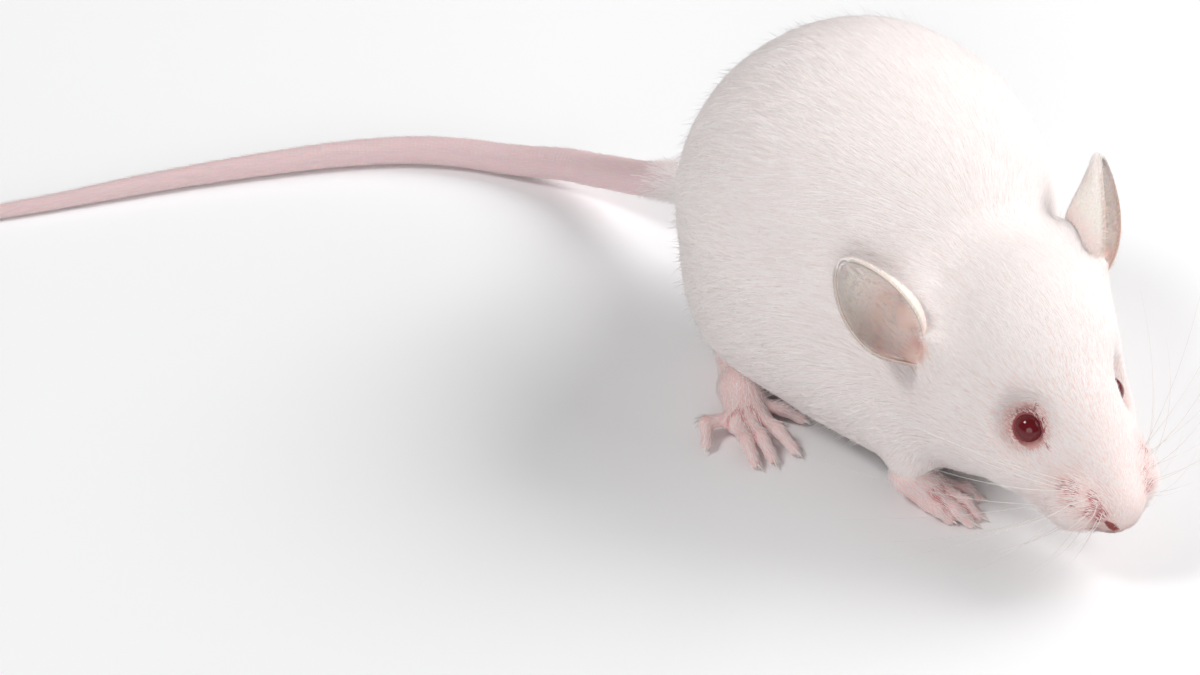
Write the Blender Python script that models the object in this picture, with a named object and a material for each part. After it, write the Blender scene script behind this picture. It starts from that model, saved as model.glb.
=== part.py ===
"""White mouse: a still, life-size model of an adult albino pet mouse.

The mouse crouches with a rounded back and sniffs the floor, head a little to
its right. It faces -Y, its left side is +X and the floor is Z = 0. The flesh
is one smooth body, melted together from named eggs and limbs, and is parted
into nodes by thin cuts. Its surface is the outline of the coat.
"""
import math
from collections import namedtuple

import bmesh
import bpy
import numpy as np
from mathutils import Matrix, Vector

# ---------------------------------------------------------------------------
# Driving dimensions, in millimetres. The working origin is on the floor,
# under the place where the tail leaves the rump.
# ---------------------------------------------------------------------------
MM = 0.001
GAP = 0.3                    # clearance between neighbouring solids
BELLY_HEIGHT = 2.0           # the belly and throat stay this far off the floor
BELLY_EDGE = 3.0             # how softly the flank turns under into the belly

# Egg: centre, radii, melt width. Limb: start, end, two radii, melt width.
Egg = namedtuple("Egg", "centre radii melt")
Limb = namedtuple("Limb", "start end start_radius end_radius melt")

TRUNK_MELT = 6.0
RUMP = Egg((0.0, -26.9, 23.35), (20.0, 17.5, 18.3), TRUNK_MELT)
LOIN = Egg((1.5, -34.2, 15.9), (19.1, 14.9, 21.3), TRUNK_MELT)
CHEST = Egg((-1.2, -50.35, 14.35), (12.25, 11.7, 13.0), TRUNK_MELT)
HAUNCH = Egg((11.1, -25.0, 13.2), (6.85, 9.6, 9.7), 4.0)
HAUNCH_CELL = Egg((14.5, -25.0, 10.5), (8.5, 10.0, 9.5), 0.0)     # what is parted off as hind leg
SHOULDER_CELL = Egg((10.0, -44.5, 10.0), (6.5, 7.0, 8.5), 0.0)    # and as foreleg, from the chest's middle
SHOULDER = Egg((6.9, -43.05, 10.8), (6.25, 8.3, 9.0), 4.0)
CHEST_MIDDLE_X = -2.2        # the forequarters lie a little to the right
TAIL_ROOT = Limb((0.0, -15.0, 13.0), (0.0, -3.0, 9.7), 7.5, 2.3, 4.5)

# The head has axes of its own: x left, y back, z up, from between the eyes.
BETWEEN_EYES = (-3.6, -63.9, 16.1)
HEAD_TURN = -10.0            # degrees, towards the mouse's right
HEAD_PITCH = 29.5            # degrees, nose down
HEAD_TILT = 1.9              # degrees, right side down
CRANIUM = Egg((0.0, 8.9, -1.3), (8.95, 9.75, 8.05), 0.0)
SNOUT = Limb((0.0, 1.0, -2.0), (0.0, -9.3, -2.8), 6.35, 3.4, 2.5)
NOSE = Limb((0.0, -9.3, -2.8), (0.0, -9.65, -5.4), 2.8, 1.7, 1.5)
WHISKER_PAD = Egg((3.45, -6.75, -3.35), (3.1, 4.0, 3.1), 1.5)
CHEEK = Egg((4.7, 2.0, -5.2), (4.95, 6.95, 5.2), 3.0)
JAW = Limb((0.0, 4.0, -7.6), (0.0, -5.0, -8.2), 4.3, 2.3, 2.0)
NECK_START = (0.0, 12.0, -2.5)
NECK_RADII = (8.35, 10.95)   # at the head, and where it sinks in the chest
NECK_MELT = 4.0
HEAD_MELT = 4.0
EYE_CENTRE = (5.35, 0.9, -0.9)
EYE_RADIUS = 1.65
SOCKET_GROWTH = 1.08         # so that the flat facets of the socket clear the eye
EYE_DISH = ((7.5, 0.9, 1.1), 2.95, 0.8)    # centre, radius, softness of the dip round the eye

# Ear: a leaf bent round its long axis, from a narrow foot to a round tip.
EAR_FOOT = (11.75, 12.15, -2.5)
EAR_TURN = 0.53              # radians, long axis from the side towards the back
EAR_RISE = 0.71              # radians, long axis above the level of the eyes
EAR_FACE = 0.0               # radians, the mouth of the ear from straight ahead
EAR_LENGTH = 12.0
EAR_HALF_WIDTH = 3.65
EAR_WIDEST = 0.44            # share of the length
EAR_FOOT_WIDTH = 0.24        # share of the half width
EAR_FOOT_BEND = 2.8          # radians, half the arc of the section at the foot
EAR_TIP_BEND = 1.45
EAR_CURL = 0.64              # how far the tip leans back, as a share of the length
EAR_THICKNESS = 0.6
EAR_SUNK = -0.12             # where the leaf would start, inside the head
EAR_MARGIN = 0.15            # more clearance from the head, for its flat facets
EAR_LAST_ROW = 0.985         # just short of the tip, where the rows would close
EAR_ROWS, EAR_COLUMNS = 9, 10

# Tail: the middle of the tail where it passes these places, from root to tip.
TAIL_PATH = ((0.0, -3.0, 9.9), (0.0, 0.0, 8.9), (-0.5, 5.3, 6.6), (-0.9, 11.6, 4.3),
             (-2.8, 18.4, 2.7), (-8.9, 29.0, 0.0), (-17.6, 37.1, 0.0), (-32.9, 46.5, 0.0),
             (-48.9, 54.7, 0.0), (-60.3, 60.8, 0.0), (-68.0, 64.6, 0.0))
TAIL_RADIUS = 2.15           # at the root
TAIL_TIP_RADIUS = 0.55
TAIL_TAPER = 1.25            # above 1 the tail keeps its thickness longer
TAIL_LENGTHS = 5
TAIL_RINGS_PER_LENGTH = 6
TAIL_SIDES = 10

# Legs of the right side; the left side mirrors them and is moved a little.
TOE_RADII = (0.80, 0.72, 0.62)           # at the root, the knuckle and the tip
FINGER_RADII = (0.75, 0.68, 0.58)
CLAW_RADII = (0.38, 0.26)
TOE_MELT = 0.6
SOLE_CUT = 0.0               # the height at which the soles are cut flat
CELL_MARGIN = 0.6            # the leg limbs are parted off with this much round them
HIND_LEG = (Limb((-11.5, -23.5, 10.5), (-10.6, -20.6, 3.2), 5.0, 2.2, 0.0),)
HIND_SOLE = (Limb((-10.6, -20.4, 1.8), (-14.6, -25.6, 1.7), 2.0, 2.1, 0.0),
             Limb((-14.6, -25.6, 1.7), (-18.4, -28.9, 1.5), 2.1, 1.45, 1.5),
             Limb((-14.0, -25.2, 1.7), (-16.4, -30.0, 1.4), 2.0, 1.4, 1.5))
HIND_TOES = (((-18.6, -28.0, 1.6), (-21.3, -26.9, 1.8), (-22.9, -28.6, 0.9), (-23.9, -29.4, 0.45)),
             ((-19.0, -29.5, 1.7), (-20.2, -32.0, 2.0), (-21.2, -34.3, 0.9), (-21.2, -35.7, 0.45)),
             ((-17.8, -30.0, 1.8), (-18.7, -32.8, 2.1), (-19.3, -35.1, 0.9), (-19.8, -36.5, 0.45)),
             ((-16.3, -30.2, 1.7), (-16.5, -33.2, 2.0), (-16.6, -35.8, 0.9), (-16.6, -37.2, 0.45)),
             ((-14.3, -28.6, 1.4), (-13.3, -30.8, 1.6), (-12.3, -32.7, 0.8), (-12.0, -33.9, 0.45)))
FORELEG = (Limb((-9.0, -45.5, 11.0), (-12.2, -48.6, 4.6), 4.4, 2.3, 0.0),)
FORE_SOLE = (Limb((-12.4, -49.0, 3.1), (-12.0, -52.0, 1.15), 1.9, 1.35, 0.0),
             Limb((-12.3, -49.0, 3.1), (-9.9, -52.0, 1.15), 1.8, 1.35, 1.2))
FINGERS = (((-12.6, -52.0, 1.3), (-12.7, -53.6, 1.4), (-12.3, -54.9, 0.5), (-12.1, -56.1, 0.35)),
           ((-11.7, -52.8, 1.5), (-11.6, -55.0, 1.6), (-11.1, -56.8, 0.5), (-10.6, -58.2, 0.35)),
           ((-10.3, -52.9, 1.5), (-10.0, -55.0, 1.6), (-9.7, -56.6, 0.5), (-9.2, -58.0, 0.35)),
           ((-8.9, -52.1, 1.3), (-8.3, -53.4, 1.4), (-7.7, -54.6, 0.5), (-7.0, -55.8, 0.35)))
LEFT_HIND_SHIFT = (0.0, 1.0)             # x and y, after mirroring in x = 0
LEFT_FORE_SHIFT = (2.0 * CHEST_MIDDLE_X, 2.5)

# Cuts between the lengths of the body: a place and the direction towards the tail.
RUMP_CUT = ((0.0, -24.0, 20.0), (0.0, 1.0, 0.0))
CHEST_CUT = ((0.0, -36.5, 20.0), (0.05, 1.0, 0.1))
NECK_CUT = ((-1.5, -45.5, 20.0), (0.1, 1.0, 0.2))
HEAD_CUT = ((0.3, -51.5, 21.0), (0.15, 1.0, 0.2))

# Fineness of the surfaces
BODY_VOXEL, BODY_TRIANGLES = 0.9, 2040
FOOT_VOXEL, FOOT_TRIANGLES = 0.28, 380
LEG_VOXEL, LEG_TRIANGLES = 0.7, 130

COLOURS = {                  # sRGB, with roughness
    "fur": ((0.93, 0.91, 0.90), 0.75),
    "bare_skin": ((0.87, 0.66, 0.65), 0.50),
    "tail_skin": ((0.80, 0.62, 0.64), 0.55),
    "ear_skin": ((0.86, 0.77, 0.75), 0.55),
    "eye": ((0.33, 0.03, 0.06), 0.08),
}


# ---------------------------------------------------------------------------
# Distance from the surface of the melted forms; negative inside
# ---------------------------------------------------------------------------
def turned(turn, pitch, tilt):
    """Axes of a form turned about Z, then pitched nose down, then tilted."""
    about_z = Matrix.Rotation(math.radians(turn), 3, "Z")
    about_x = Matrix.Rotation(math.radians(pitch), 3, "X")
    about_y = Matrix.Rotation(math.radians(tilt), 3, "Y")
    return np.array(about_z @ about_x @ about_y)


LEVEL = np.eye(3)
HEAD_AXES = turned(HEAD_TURN, HEAD_PITCH, HEAD_TILT)


def on_head(point):
    """A place given on the head's own axes."""
    return np.array(BETWEEN_EYES) + HEAD_AXES @ np.array(point, float)


def egg_distance(points, egg, axes=LEVEL):
    local = (points - np.array(egg.centre)) @ axes
    scaled = local / np.array(egg.radii)
    steep = scaled / np.array(egg.radii)
    size = np.linalg.norm(scaled, axis=1)
    return size * (size - 1.0) / (np.linalg.norm(steep, axis=1) + 1e-9)


def limb_distance(points, limb):
    """A cone with a ball at each end."""
    start = np.array(limb.start, float)
    along = np.array(limb.end, float) - start
    length2 = along @ along
    taper = limb.start_radius - limb.end_radius
    slant2 = length2 - taper * taper
    offset = points - start
    run = offset @ along
    past = run - length2
    across = offset * length2 - run[:, None] * along
    across2 = (across * across).sum(axis=1)
    run2 = run * run * length2
    past2 = past * past * length2
    side = np.sign(taper) * taper * taper * across2
    at_end = np.sign(past) * slant2 * past2 > side
    at_start = np.sign(run) * slant2 * run2 < side
    on_cone = (np.sqrt(across2 * slant2 / length2) + run * taper) / length2 - limb.start_radius
    return np.where(
        at_end, np.sqrt(across2 + past2) / length2 - limb.end_radius,
        np.where(at_start, np.sqrt(across2 + run2) / length2 - limb.start_radius, on_cone))


def melt(first, second, width):
    """Union of two distances, with a fillet of this width."""
    if width == 0.0:
        return np.minimum(first, second)
    share = np.clip(0.5 + 0.5 * (second - first) / width, 0.0, 1.0)
    return second * (1 - share) + first * share - width * share * (1 - share)


def mirrored(form, middle=0.0, shift=(0.0, 0.0)):
    """The form on the other side of the plane x = middle, then moved in x and y."""
    def place(point):
        return (2.0 * middle - point[0] + shift[0], point[1] + shift[1], point[2])
    if isinstance(form, Egg):
        return form._replace(centre=place(form.centre))
    return form._replace(start=place(form.start), end=place(form.end))


def moved(form, offset):
    return form._replace(centre=tuple(np.array(form.centre) + np.array(offset)))


def head_form(form):
    """A form of the head, placed in the world; an egg keeps the head's axes."""
    if isinstance(form, Egg):
        return form._replace(centre=tuple(on_head(form.centre)))
    return form._replace(start=tuple(on_head(form.start)), end=tuple(on_head(form.end)))


def trunk_forms():
    forms = [RUMP, LOIN, CHEST]
    for side in (1, -1):
        forms.append(HAUNCH if side == 1 else mirrored(HAUNCH))
        shoulder = SHOULDER if side == 1 else mirrored(SHOULDER)
        forms.append(moved(shoulder, (CHEST_MIDDLE_X, 0.0, 0.0)))
    forms.append(TAIL_ROOT)
    return forms


def head_forms():
    forms = [CRANIUM, SNOUT, NOSE]
    for side in (1, -1):
        for form in (WHISKER_PAD, CHEEK):
            forms.append(form if side == 1 else mirrored(form))
    forms.append(JAW)
    forms = [head_form(form) for form in forms]
    forms.append(Limb(tuple(on_head(NECK_START)), CHEST.centre, *NECK_RADII, NECK_MELT))
    return forms


def melted(points, forms, axes=LEVEL):
    distance = None
    for form in forms:
        if isinstance(form, Egg):
            own = egg_distance(points, form, axes)
        else:
            own = limb_distance(points, form)
        distance = own if distance is None else melt(distance, own, form.melt)
    return distance


def body_distance(points):
    """Trunk, neck and head, with the belly flattened and a dish for each eye."""
    distance = melt(melted(points, trunk_forms()), melted(points, head_forms(), HEAD_AXES), HEAD_MELT)
    for leg in FORELEG + tuple(left_fore(form) for form in FORELEG):
        distance = melt(distance, limb_distance(points, leg), 2.0)
    distance = -melt(-distance, points[:, 2] - BELLY_HEIGHT, BELLY_EDGE)
    centre, radius, softness = EYE_DISH
    for side in (1, -1):
        dish = np.linalg.norm(points - on_head((side * centre[0], *centre[1:])), axis=1) - radius
        distance = -melt(-distance, dish, softness)
    return distance


def left_hind(form):
    return mirrored(form, shift=LEFT_HIND_SHIFT)


def left_fore(form):
    return mirrored(form, shift=LEFT_FORE_SHIFT)


def digit_forms(places, radii):
    """Two phalanges and a claw, from the root of the toe to the claw's point."""
    root, knuckle, tip, point = places
    return [Limb(root, knuckle, radii[0], radii[1], TOE_MELT),
            Limb(knuckle, tip, radii[1], radii[2], TOE_MELT),
            Limb(tip, point, *CLAW_RADII, 0.3)]


def foot_forms(sole, digits, radii, place):
    forms = list(sole)
    for digit in digits:
        forms.extend(digit_forms(digit, radii))
    return [place(form) for form in forms]


def same(form):
    return form


# ---------------------------------------------------------------------------
# From forms to closed meshes
# ---------------------------------------------------------------------------
def new_object(name, mesh):
    thing = bpy.data.objects.new(name, mesh)
    bpy.context.collection.objects.link(thing)
    return thing


def close_outward(bm):
    """Triangles whose faces all point out."""
    bmesh.ops.recalc_face_normals(bm, faces=bm.faces)
    if bm.calc_volume(signed=True) < 0.0:
        bmesh.ops.reverse_faces(bm, faces=bm.faces)
    bmesh.ops.triangulate(bm, faces=bm.faces)


def mesh_from(bm, name):
    mesh = bpy.data.meshes.new(name)
    bm.to_mesh(mesh)
    bm.free()
    return mesh


def evaluated(thing):
    """The object's mesh with its modifiers applied; the modifiers are dropped."""
    graph = bpy.context.evaluated_depsgraph_get()
    mesh = bpy.data.meshes.new_from_object(thing.evaluated_get(graph))
    thing.modifiers.clear()
    thing.data = mesh
    return thing


def add_egg(bm, egg, axes):
    grown = bmesh.ops.create_icosphere(bm, subdivisions=4, radius=1.0)["verts"]
    frame = Matrix(axes.tolist()).to_4x4()
    matrix = Matrix.Translation(Vector(egg.centre)) @ frame @ Matrix.Diagonal((*egg.radii, 1.0))
    bmesh.ops.transform(bm, matrix=matrix, verts=grown)


def add_limb(bm, limb):
    """The hull of the two end balls."""
    part = bmesh.new()
    for place, radius in ((limb.start, limb.start_radius), (limb.end, limb.end_radius)):
        bmesh.ops.create_icosphere(part, subdivisions=3, radius=radius,
                                   matrix=Matrix.Translation(Vector(place)))
    hull = bmesh.ops.convex_hull(part, input=part.verts)
    bmesh.ops.delete(part, geom=[v for v in hull["geom_interior"] if isinstance(v, bmesh.types.BMVert)],
                     context="VERTS")
    mesh = mesh_from(part, "limb")
    bm.from_mesh(mesh)
    bpy.data.meshes.remove(mesh)


def settle(mesh, distance, level, rounds=4):
    """Move each vertex along the slope of the distance until it lies at this level."""
    count = len(mesh.vertices)
    flat = np.empty(count * 3)
    mesh.vertices.foreach_get("co", flat)
    points = flat.reshape(-1, 3)
    step = 0.02
    for _ in range(rounds):
        here = distance(points) - level
        slope = np.stack([distance(points + step * np.eye(3)[axis]) - distance(points - step * np.eye(3)[axis])
                          for axis in range(3)], axis=1) / (2 * step)
        steepness = np.maximum((slope * slope).sum(axis=1), 0.25)
        points = points - 0.9 * slope * (here / steepness)[:, None]
    mesh.vertices.foreach_set("co", points.ravel())
    mesh.update()


def smooth_body(name, forms, distance, voxel, triangles, level=0.0):
    """One closed skin round the forms, at this level of the distance."""
    bm = bmesh.new()
    for form, axes in forms:
        if isinstance(form, Egg):
            add_egg(bm, form, axes)
        else:
            add_limb(bm, form)
    body = new_object(name, mesh_from(bm, name))
    remesh = body.modifiers.new("skin", "REMESH")
    remesh.mode = "VOXEL"
    remesh.voxel_size = voxel
    evaluated(body)
    settle(body.data, distance, level)
    reduce = body.modifiers.new("fewer faces", "DECIMATE")
    body.data.calc_loop_triangles()
    reduce.ratio = min(1.0, triangles / len(body.data.loop_triangles))
    evaluated(body)
    settle(body.data, distance, level, rounds=2)
    return body


def grown_copy(thing, distance, gap):
    """The same faces, each a gap further out."""
    room = copy_of(thing, "room")
    settle(room.data, distance, gap)
    return room


def block(name, centre, towards, size=220.0):
    """A large box whose face passes through centre and whose bulk lies towards."""
    bm = bmesh.new()
    bmesh.ops.create_cube(bm, size=size)
    bmesh.ops.translate(bm, verts=bm.verts, vec=(0.0, 0.0, size / 2))
    turn = Vector((0.0, 0.0, 1.0)).rotation_difference(Vector(towards)).to_matrix().to_4x4()
    bmesh.ops.transform(bm, matrix=Matrix.Translation(Vector(centre)) @ turn, verts=bm.verts)
    return new_object(name, mesh_from(bm, name))


def boolean(thing, cutter, operation="DIFFERENCE"):
    cut = thing.modifiers.new("cut", "BOOLEAN")
    cut.operation = operation
    cut.solver = "EXACT"
    cut.object = cutter
    return evaluated(thing)


def copy_of(thing, name):
    return new_object(name, thing.data.copy())


def drop(*things):
    for thing in things:
        bpy.data.objects.remove(thing, do_unlink=True)


def keep_largest(thing):
    """Drop crumbs that a cut leaves behind."""
    bm = bmesh.new()
    bm.from_mesh(thing.data)
    left = set(bm.verts)
    groups = []
    while left:
        stack = [left.pop()]
        group = set(stack)
        while stack:
            for edge in stack.pop().link_edges:
                for vert in edge.verts:
                    if vert in left:
                        left.discard(vert)
                        group.add(vert)
                        stack.append(vert)
        groups.append(group)
    groups.sort(key=len)
    for group in groups[:-1]:
        bmesh.ops.delete(bm, geom=list(group), context="VERTS")
    bmesh.ops.triangulate(bm, faces=bm.faces)
    bm.to_mesh(thing.data)
    bm.free()
    thing.data.update()
    return thing


def beyond(thing, name, centre, towards):
    """The piece of the thing that lies past half a gap from the cut."""
    direction = Vector(towards).normalized()
    piece = copy_of(thing, name)
    face = block("cutter", Vector(centre) + direction * GAP / 2, direction)
    boolean(piece, face, "INTERSECT")
    drop(face)
    return piece


# ---------------------------------------------------------------------------
# Pieces
# ---------------------------------------------------------------------------
def make_feet():
    """Hind and fore feet with toes and claws, and a grown copy to cut the body with."""
    feet = {}
    for name, sole, digits, radii, place in (
            ("hind_foot_right", HIND_SOLE, HIND_TOES, TOE_RADII, same),
            ("hind_foot_left", HIND_SOLE, HIND_TOES, TOE_RADII, left_hind),
            ("forefoot_right", FORE_SOLE, FINGERS, FINGER_RADII, same),
            ("forefoot_left", FORE_SOLE, FINGERS, FINGER_RADII, left_fore)):
        forms = foot_forms(sole, digits, radii, place)

        def distance(points, forms=forms):
            return melted(points, forms)

        placed = [(form, LEVEL) for form in forms]
        foot = smooth_body(name, placed, distance, FOOT_VOXEL, FOOT_TRIANGLES)
        room = grown_copy(foot, distance, GAP)
        floor = block("floor", (0.0, 0.0, SOLE_CUT), (0.0, 0.0, 1.0))
        boolean(foot, floor, "INTERSECT")
        drop(floor)
        feet[name] = (foot, room)
    return feet


def make_leg_cells():
    """The volumes that part each leg from the body, and a grown copy of each."""
    shoulder = moved(mirrored(SHOULDER_CELL), (CHEST_MIDDLE_X, 0.0, 0.0))
    cells = {}
    for name, egg, limbs, place in (
            ("hind_leg_right", mirrored(HAUNCH_CELL), HIND_LEG, same),
            ("hind_leg_left", mirrored(HAUNCH_CELL), HIND_LEG, left_hind),
            ("foreleg_right", shoulder, FORELEG, same),
            ("foreleg_left", shoulder, FORELEG, left_fore)):
        forms = [place(egg)] + [place(form)._replace(melt=2.5) for form in limbs]

        def distance(points, forms=forms):
            return melted(points, forms) - CELL_MARGIN

        placed = [(form, LEVEL) for form in forms]
        cell = smooth_body(name, placed, distance, LEG_VOXEL, LEG_TRIANGLES)
        cells[name] = (cell, grown_copy(cell, distance, GAP))
    return cells


def make_body():
    placed = [(form, LEVEL) for form in trunk_forms()]
    placed += [(form, HEAD_AXES) for form in head_forms()]
    placed += [(form, LEVEL) for form in FORELEG]
    placed += [(left_fore(form), LEVEL) for form in FORELEG]
    return smooth_body("body", placed, body_distance, BODY_VOXEL, BODY_TRIANGLES)


def eye(name, side, radius, fineness=3):
    bm = bmesh.new()
    bmesh.ops.create_icosphere(bm, subdivisions=fineness, radius=radius)
    centre = on_head((side * EYE_CENTRE[0], *EYE_CENTRE[1:]))
    bmesh.ops.translate(bm, verts=bm.verts, vec=Vector(centre))
    return new_object(name, mesh_from(bm, name))


def ear_point(along, across, depth):
    """A point of the left ear on the head's axes: along 0 to 1, across -1 to 1."""
    long_axis = np.array((math.cos(EAR_RISE) * math.cos(EAR_TURN),
                          math.cos(EAR_RISE) * math.sin(EAR_TURN), math.sin(EAR_RISE)))
    ahead = np.array((0.0, -1.0, 0.0))
    ahead = ahead - long_axis * (ahead @ long_axis)
    ahead /= np.linalg.norm(ahead)
    mouth = ahead * math.cos(EAR_FACE) + np.cross(long_axis, ahead) * math.sin(EAR_FACE)
    side = np.cross(long_axis, mouth)
    if along > EAR_WIDEST:
        width = math.sqrt(max(0.0, 1 - ((along - EAR_WIDEST) / (1 - EAR_WIDEST)) ** 2))
    else:
        rise = math.sin(max(along, 0.0) / EAR_WIDEST * math.pi / 2) ** 0.9
        width = EAR_FOOT_WIDTH + (1 - EAR_FOOT_WIDTH) * rise
    width *= EAR_HALF_WIDTH
    bend = EAR_FOOT_BEND + (EAR_TIP_BEND - EAR_FOOT_BEND) * min(max(along, 0.0) / 0.9, 1.0)
    radius = width / math.sin(min(bend, math.pi / 2))
    angle = bend * across
    lean = EAR_CURL * EAR_LENGTH * along * abs(along)
    radius_here = radius + depth
    return (np.array(EAR_FOOT) + long_axis * EAR_LENGTH * along
            + side * radius_here * math.sin(angle)
            + mouth * (radius * math.cos(bend) - radius_here * math.cos(angle) - lean))


def ear_on_head(side, along, across, depth):
    x, y, z = ear_point(along, across, depth)
    return on_head((side * x, y, z))


def ear_starts(side, across):
    """Where this column of the ear comes clear of the head, going down from the tip."""
    along = 0.8
    while along > EAR_SUNK:
        places = [ear_on_head(side, along, across, depth)
                  for depth in (-EAR_THICKNESS / 2, EAR_THICKNESS / 2)]
        if body_distance(np.array(places)).min() < GAP + EAR_MARGIN:
            break
        along -= 0.01
    return along


def make_ear(name, side):
    """A thin closed leaf: an inner and an outer sheet of points, joined round the rim."""
    bm = bmesh.new()
    columns = [2 * column / EAR_COLUMNS - 1 for column in range(EAR_COLUMNS + 1)]
    starts = [ear_starts(side, across) for across in columns]
    sheets = []
    for depth in (-EAR_THICKNESS / 2, EAR_THICKNESS / 2):
        rows = []
        for row in range(EAR_ROWS + 1):
            share = math.sin(row / EAR_ROWS * math.pi / 2)
            rows.append([])
            for across, start in zip(columns, starts):
                along = start + (EAR_LAST_ROW - start) * share
                rows[-1].append(bm.verts.new(ear_on_head(side, along, across, depth)))
        sheets.append(rows)
    inner, outer = sheets
    for row in range(EAR_ROWS):
        for column in range(EAR_COLUMNS):
            for rows in sheets:
                bm.faces.new((rows[row][column], rows[row][column + 1],
                              rows[row + 1][column + 1], rows[row + 1][column]))
        for column in (0, EAR_COLUMNS):
            bm.faces.new((inner[row][column], inner[row + 1][column],
                          outer[row + 1][column], outer[row][column]))
    for column in range(EAR_COLUMNS):
        for row in (0, EAR_ROWS):
            bm.faces.new((inner[row][column], inner[row][column + 1],
                          outer[row][column + 1], outer[row][column]))
    close_outward(bm)
    return new_object(name, mesh_from(bm, name))


def tail_point(share):
    """The middle of the tail at this share of its path: a smooth curve through the places."""
    places = [np.array(place) for place in TAIL_PATH]
    reach = [0.0]
    for before, after in zip(places, places[1:]):
        reach.append(reach[-1] + float(np.linalg.norm(after - before)))
    here = share * reach[-1]
    index = min(max(np.searchsorted(reach, here) - 1, 0), len(places) - 2)
    ends = [places[max(index - 1, 0)], places[index], places[index + 1],
            places[min(index + 2, len(places) - 1)]]
    t = (here - reach[index]) / (reach[index + 1] - reach[index])
    return 0.5 * (2 * ends[1] + (ends[2] - ends[0]) * t
                  + (2 * ends[0] - 5 * ends[1] + 4 * ends[2] - ends[3]) * t * t
                  + (3 * ends[1] - ends[0] - 3 * ends[2] + ends[3]) * t ** 3)


def tail_radius(share):
    return TAIL_TIP_RADIUS + (TAIL_RADIUS - TAIL_TIP_RADIUS) * (1 - share ** TAIL_TAPER)


def tail_ring(share):
    """One ring of points; low rings stand on the floor on a flat side."""
    centre = tail_point(share)
    radius = tail_radius(share)
    flat = radius * math.cos(math.pi / TAIL_SIDES)
    centre[2] = max(centre[2], flat)
    along = tail_point(min(share + 0.01, 1.0)) - tail_point(max(share - 0.01, 0.0))
    if centre[2] == flat:
        along[2] = 0.0
    along = Vector(along).normalized()
    across = along.cross(Vector((0.0, 0.0, 1.0))).normalized()
    up = across.cross(along)
    ring = []
    for side in range(TAIL_SIDES):
        angle = 2 * math.pi * (side + 0.5) / TAIL_SIDES - math.pi / 2
        ring.append(Vector(centre) + across * radius * math.cos(angle) + up * radius * math.sin(angle))
    return ring


def make_tail():
    """Lengths of tapered tube, a gap apart."""
    lengths = []
    whole = sum(float(np.linalg.norm(tail_point((i + 1) / 60) - tail_point(i / 60))) for i in range(60))
    half_gap = GAP / 2 / whole
    for number in range(TAIL_LENGTHS):
        bm = bmesh.new()
        first = number / TAIL_LENGTHS + half_gap
        last = (number + 1) / TAIL_LENGTHS - half_gap
        rings = []
        for step in range(TAIL_RINGS_PER_LENGTH + 1):
            share = first + (last - first) * step / TAIL_RINGS_PER_LENGTH
            rings.append([bm.verts.new(place) for place in tail_ring(share)])
        for before, after in zip(rings, rings[1:]):
            for side in range(TAIL_SIDES):
                other = (side + 1) % TAIL_SIDES
                bm.faces.new((before[side], before[other], after[other], after[side]))
        bm.faces.new(rings[0])
        bm.faces.new(rings[-1])
        close_outward(bm)
        name = f"tail_{number + 1}"
        lengths.append(new_object(name, mesh_from(bm, name)))
    return lengths


# ---------------------------------------------------------------------------
# Parting, finishing
# ---------------------------------------------------------------------------
def part_body(body, feet, cells):
    """Cut the feet, legs and eyes out of the body, then divide what is left in lengths."""
    pieces = []
    for foot, room in feet.values():
        boolean(body, room)
        drop(room)
        pieces.append((foot, "bare_skin"))
    for name, (cell, room) in cells.items():
        leg = copy_of(body, name + "_piece")
        boolean(leg, cell, "INTERSECT")
        boolean(body, room)
        drop(cell, room)
        leg.name = name
        pieces.append((leg, "fur"))
    for side, word in ((1, "left"), (-1, "right")):
        socket = eye("socket", side, (EYE_RADIUS + GAP) * SOCKET_GROWTH, fineness=2)
        boolean(body, socket)
        drop(socket)
        pieces.append((eye("eye_" + word, side, EYE_RADIUS), "eye"))
    tail_start = Vector(TAIL_ROOT.end)
    tail_way = Vector(tail_point(0.02)) - Vector(tail_point(0.0))
    front = beyond(body, "front", tail_start, -tail_way)
    drop(body)
    for name, cut in (("rump", RUMP_CUT), ("loin", CHEST_CUT), ("chest", NECK_CUT), ("neck", HEAD_CUT)):
        centre, towards = Vector(cut[0]), Vector(cut[1])
        pieces.append((beyond(front, name, centre, towards), "fur"))
        rest = beyond(front, "rest", centre, -towards)
        drop(front)
        front = rest
    front.name = "head"
    pieces.append((front, "fur"))
    return pieces


def material(name):
    colour, roughness = COLOURS[name]
    finish = bpy.data.materials.new(name)
    finish.use_nodes = True
    shader = finish.node_tree.nodes["Principled BSDF"]
    linear = [c / 12.92 if c <= 0.04045 else ((c + 0.055) / 1.055) ** 2.4 for c in colour]
    shader.inputs["Base Color"].default_value = (*linear, 1.0)
    shader.inputs["Roughness"].default_value = roughness
    return finish


def finish_all(pieces):
    """Centre the model over the origin, in metres, and give each piece its finish."""
    corners = []
    for thing, _ in pieces:
        corners.extend(np.array(vertex.co) for vertex in thing.data.vertices)
    low = np.min(corners, axis=0)
    high = np.max(corners, axis=0)
    middle = Vector((-(low[0] + high[0]) / 2, -(low[1] + high[1]) / 2, 0.0))
    to_metres = Matrix.Scale(MM, 4) @ Matrix.Translation(middle)
    finishes = {name: material(name) for name in COLOURS}
    for thing, finish in pieces:
        thing.data.transform(to_metres)
        thing.data.materials.clear()
        thing.data.materials.append(finishes[finish])
        thing.data.shade_smooth()
        thing.data.set_sharp_from_angle(angle=math.radians(50))


def main():
    for thing in list(bpy.data.objects):
        bpy.data.objects.remove(thing, do_unlink=True)
    pieces = part_body(make_body(), make_feet(), make_leg_cells())
    pieces += [(make_ear("ear_left", 1), "ear_skin"), (make_ear("ear_right", -1), "ear_skin")]
    pieces += [(length, "tail_skin") for length in make_tail()]
    pieces = [(keep_largest(thing), finish) for thing, finish in pieces]
    finish_all(pieces)


main()
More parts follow.
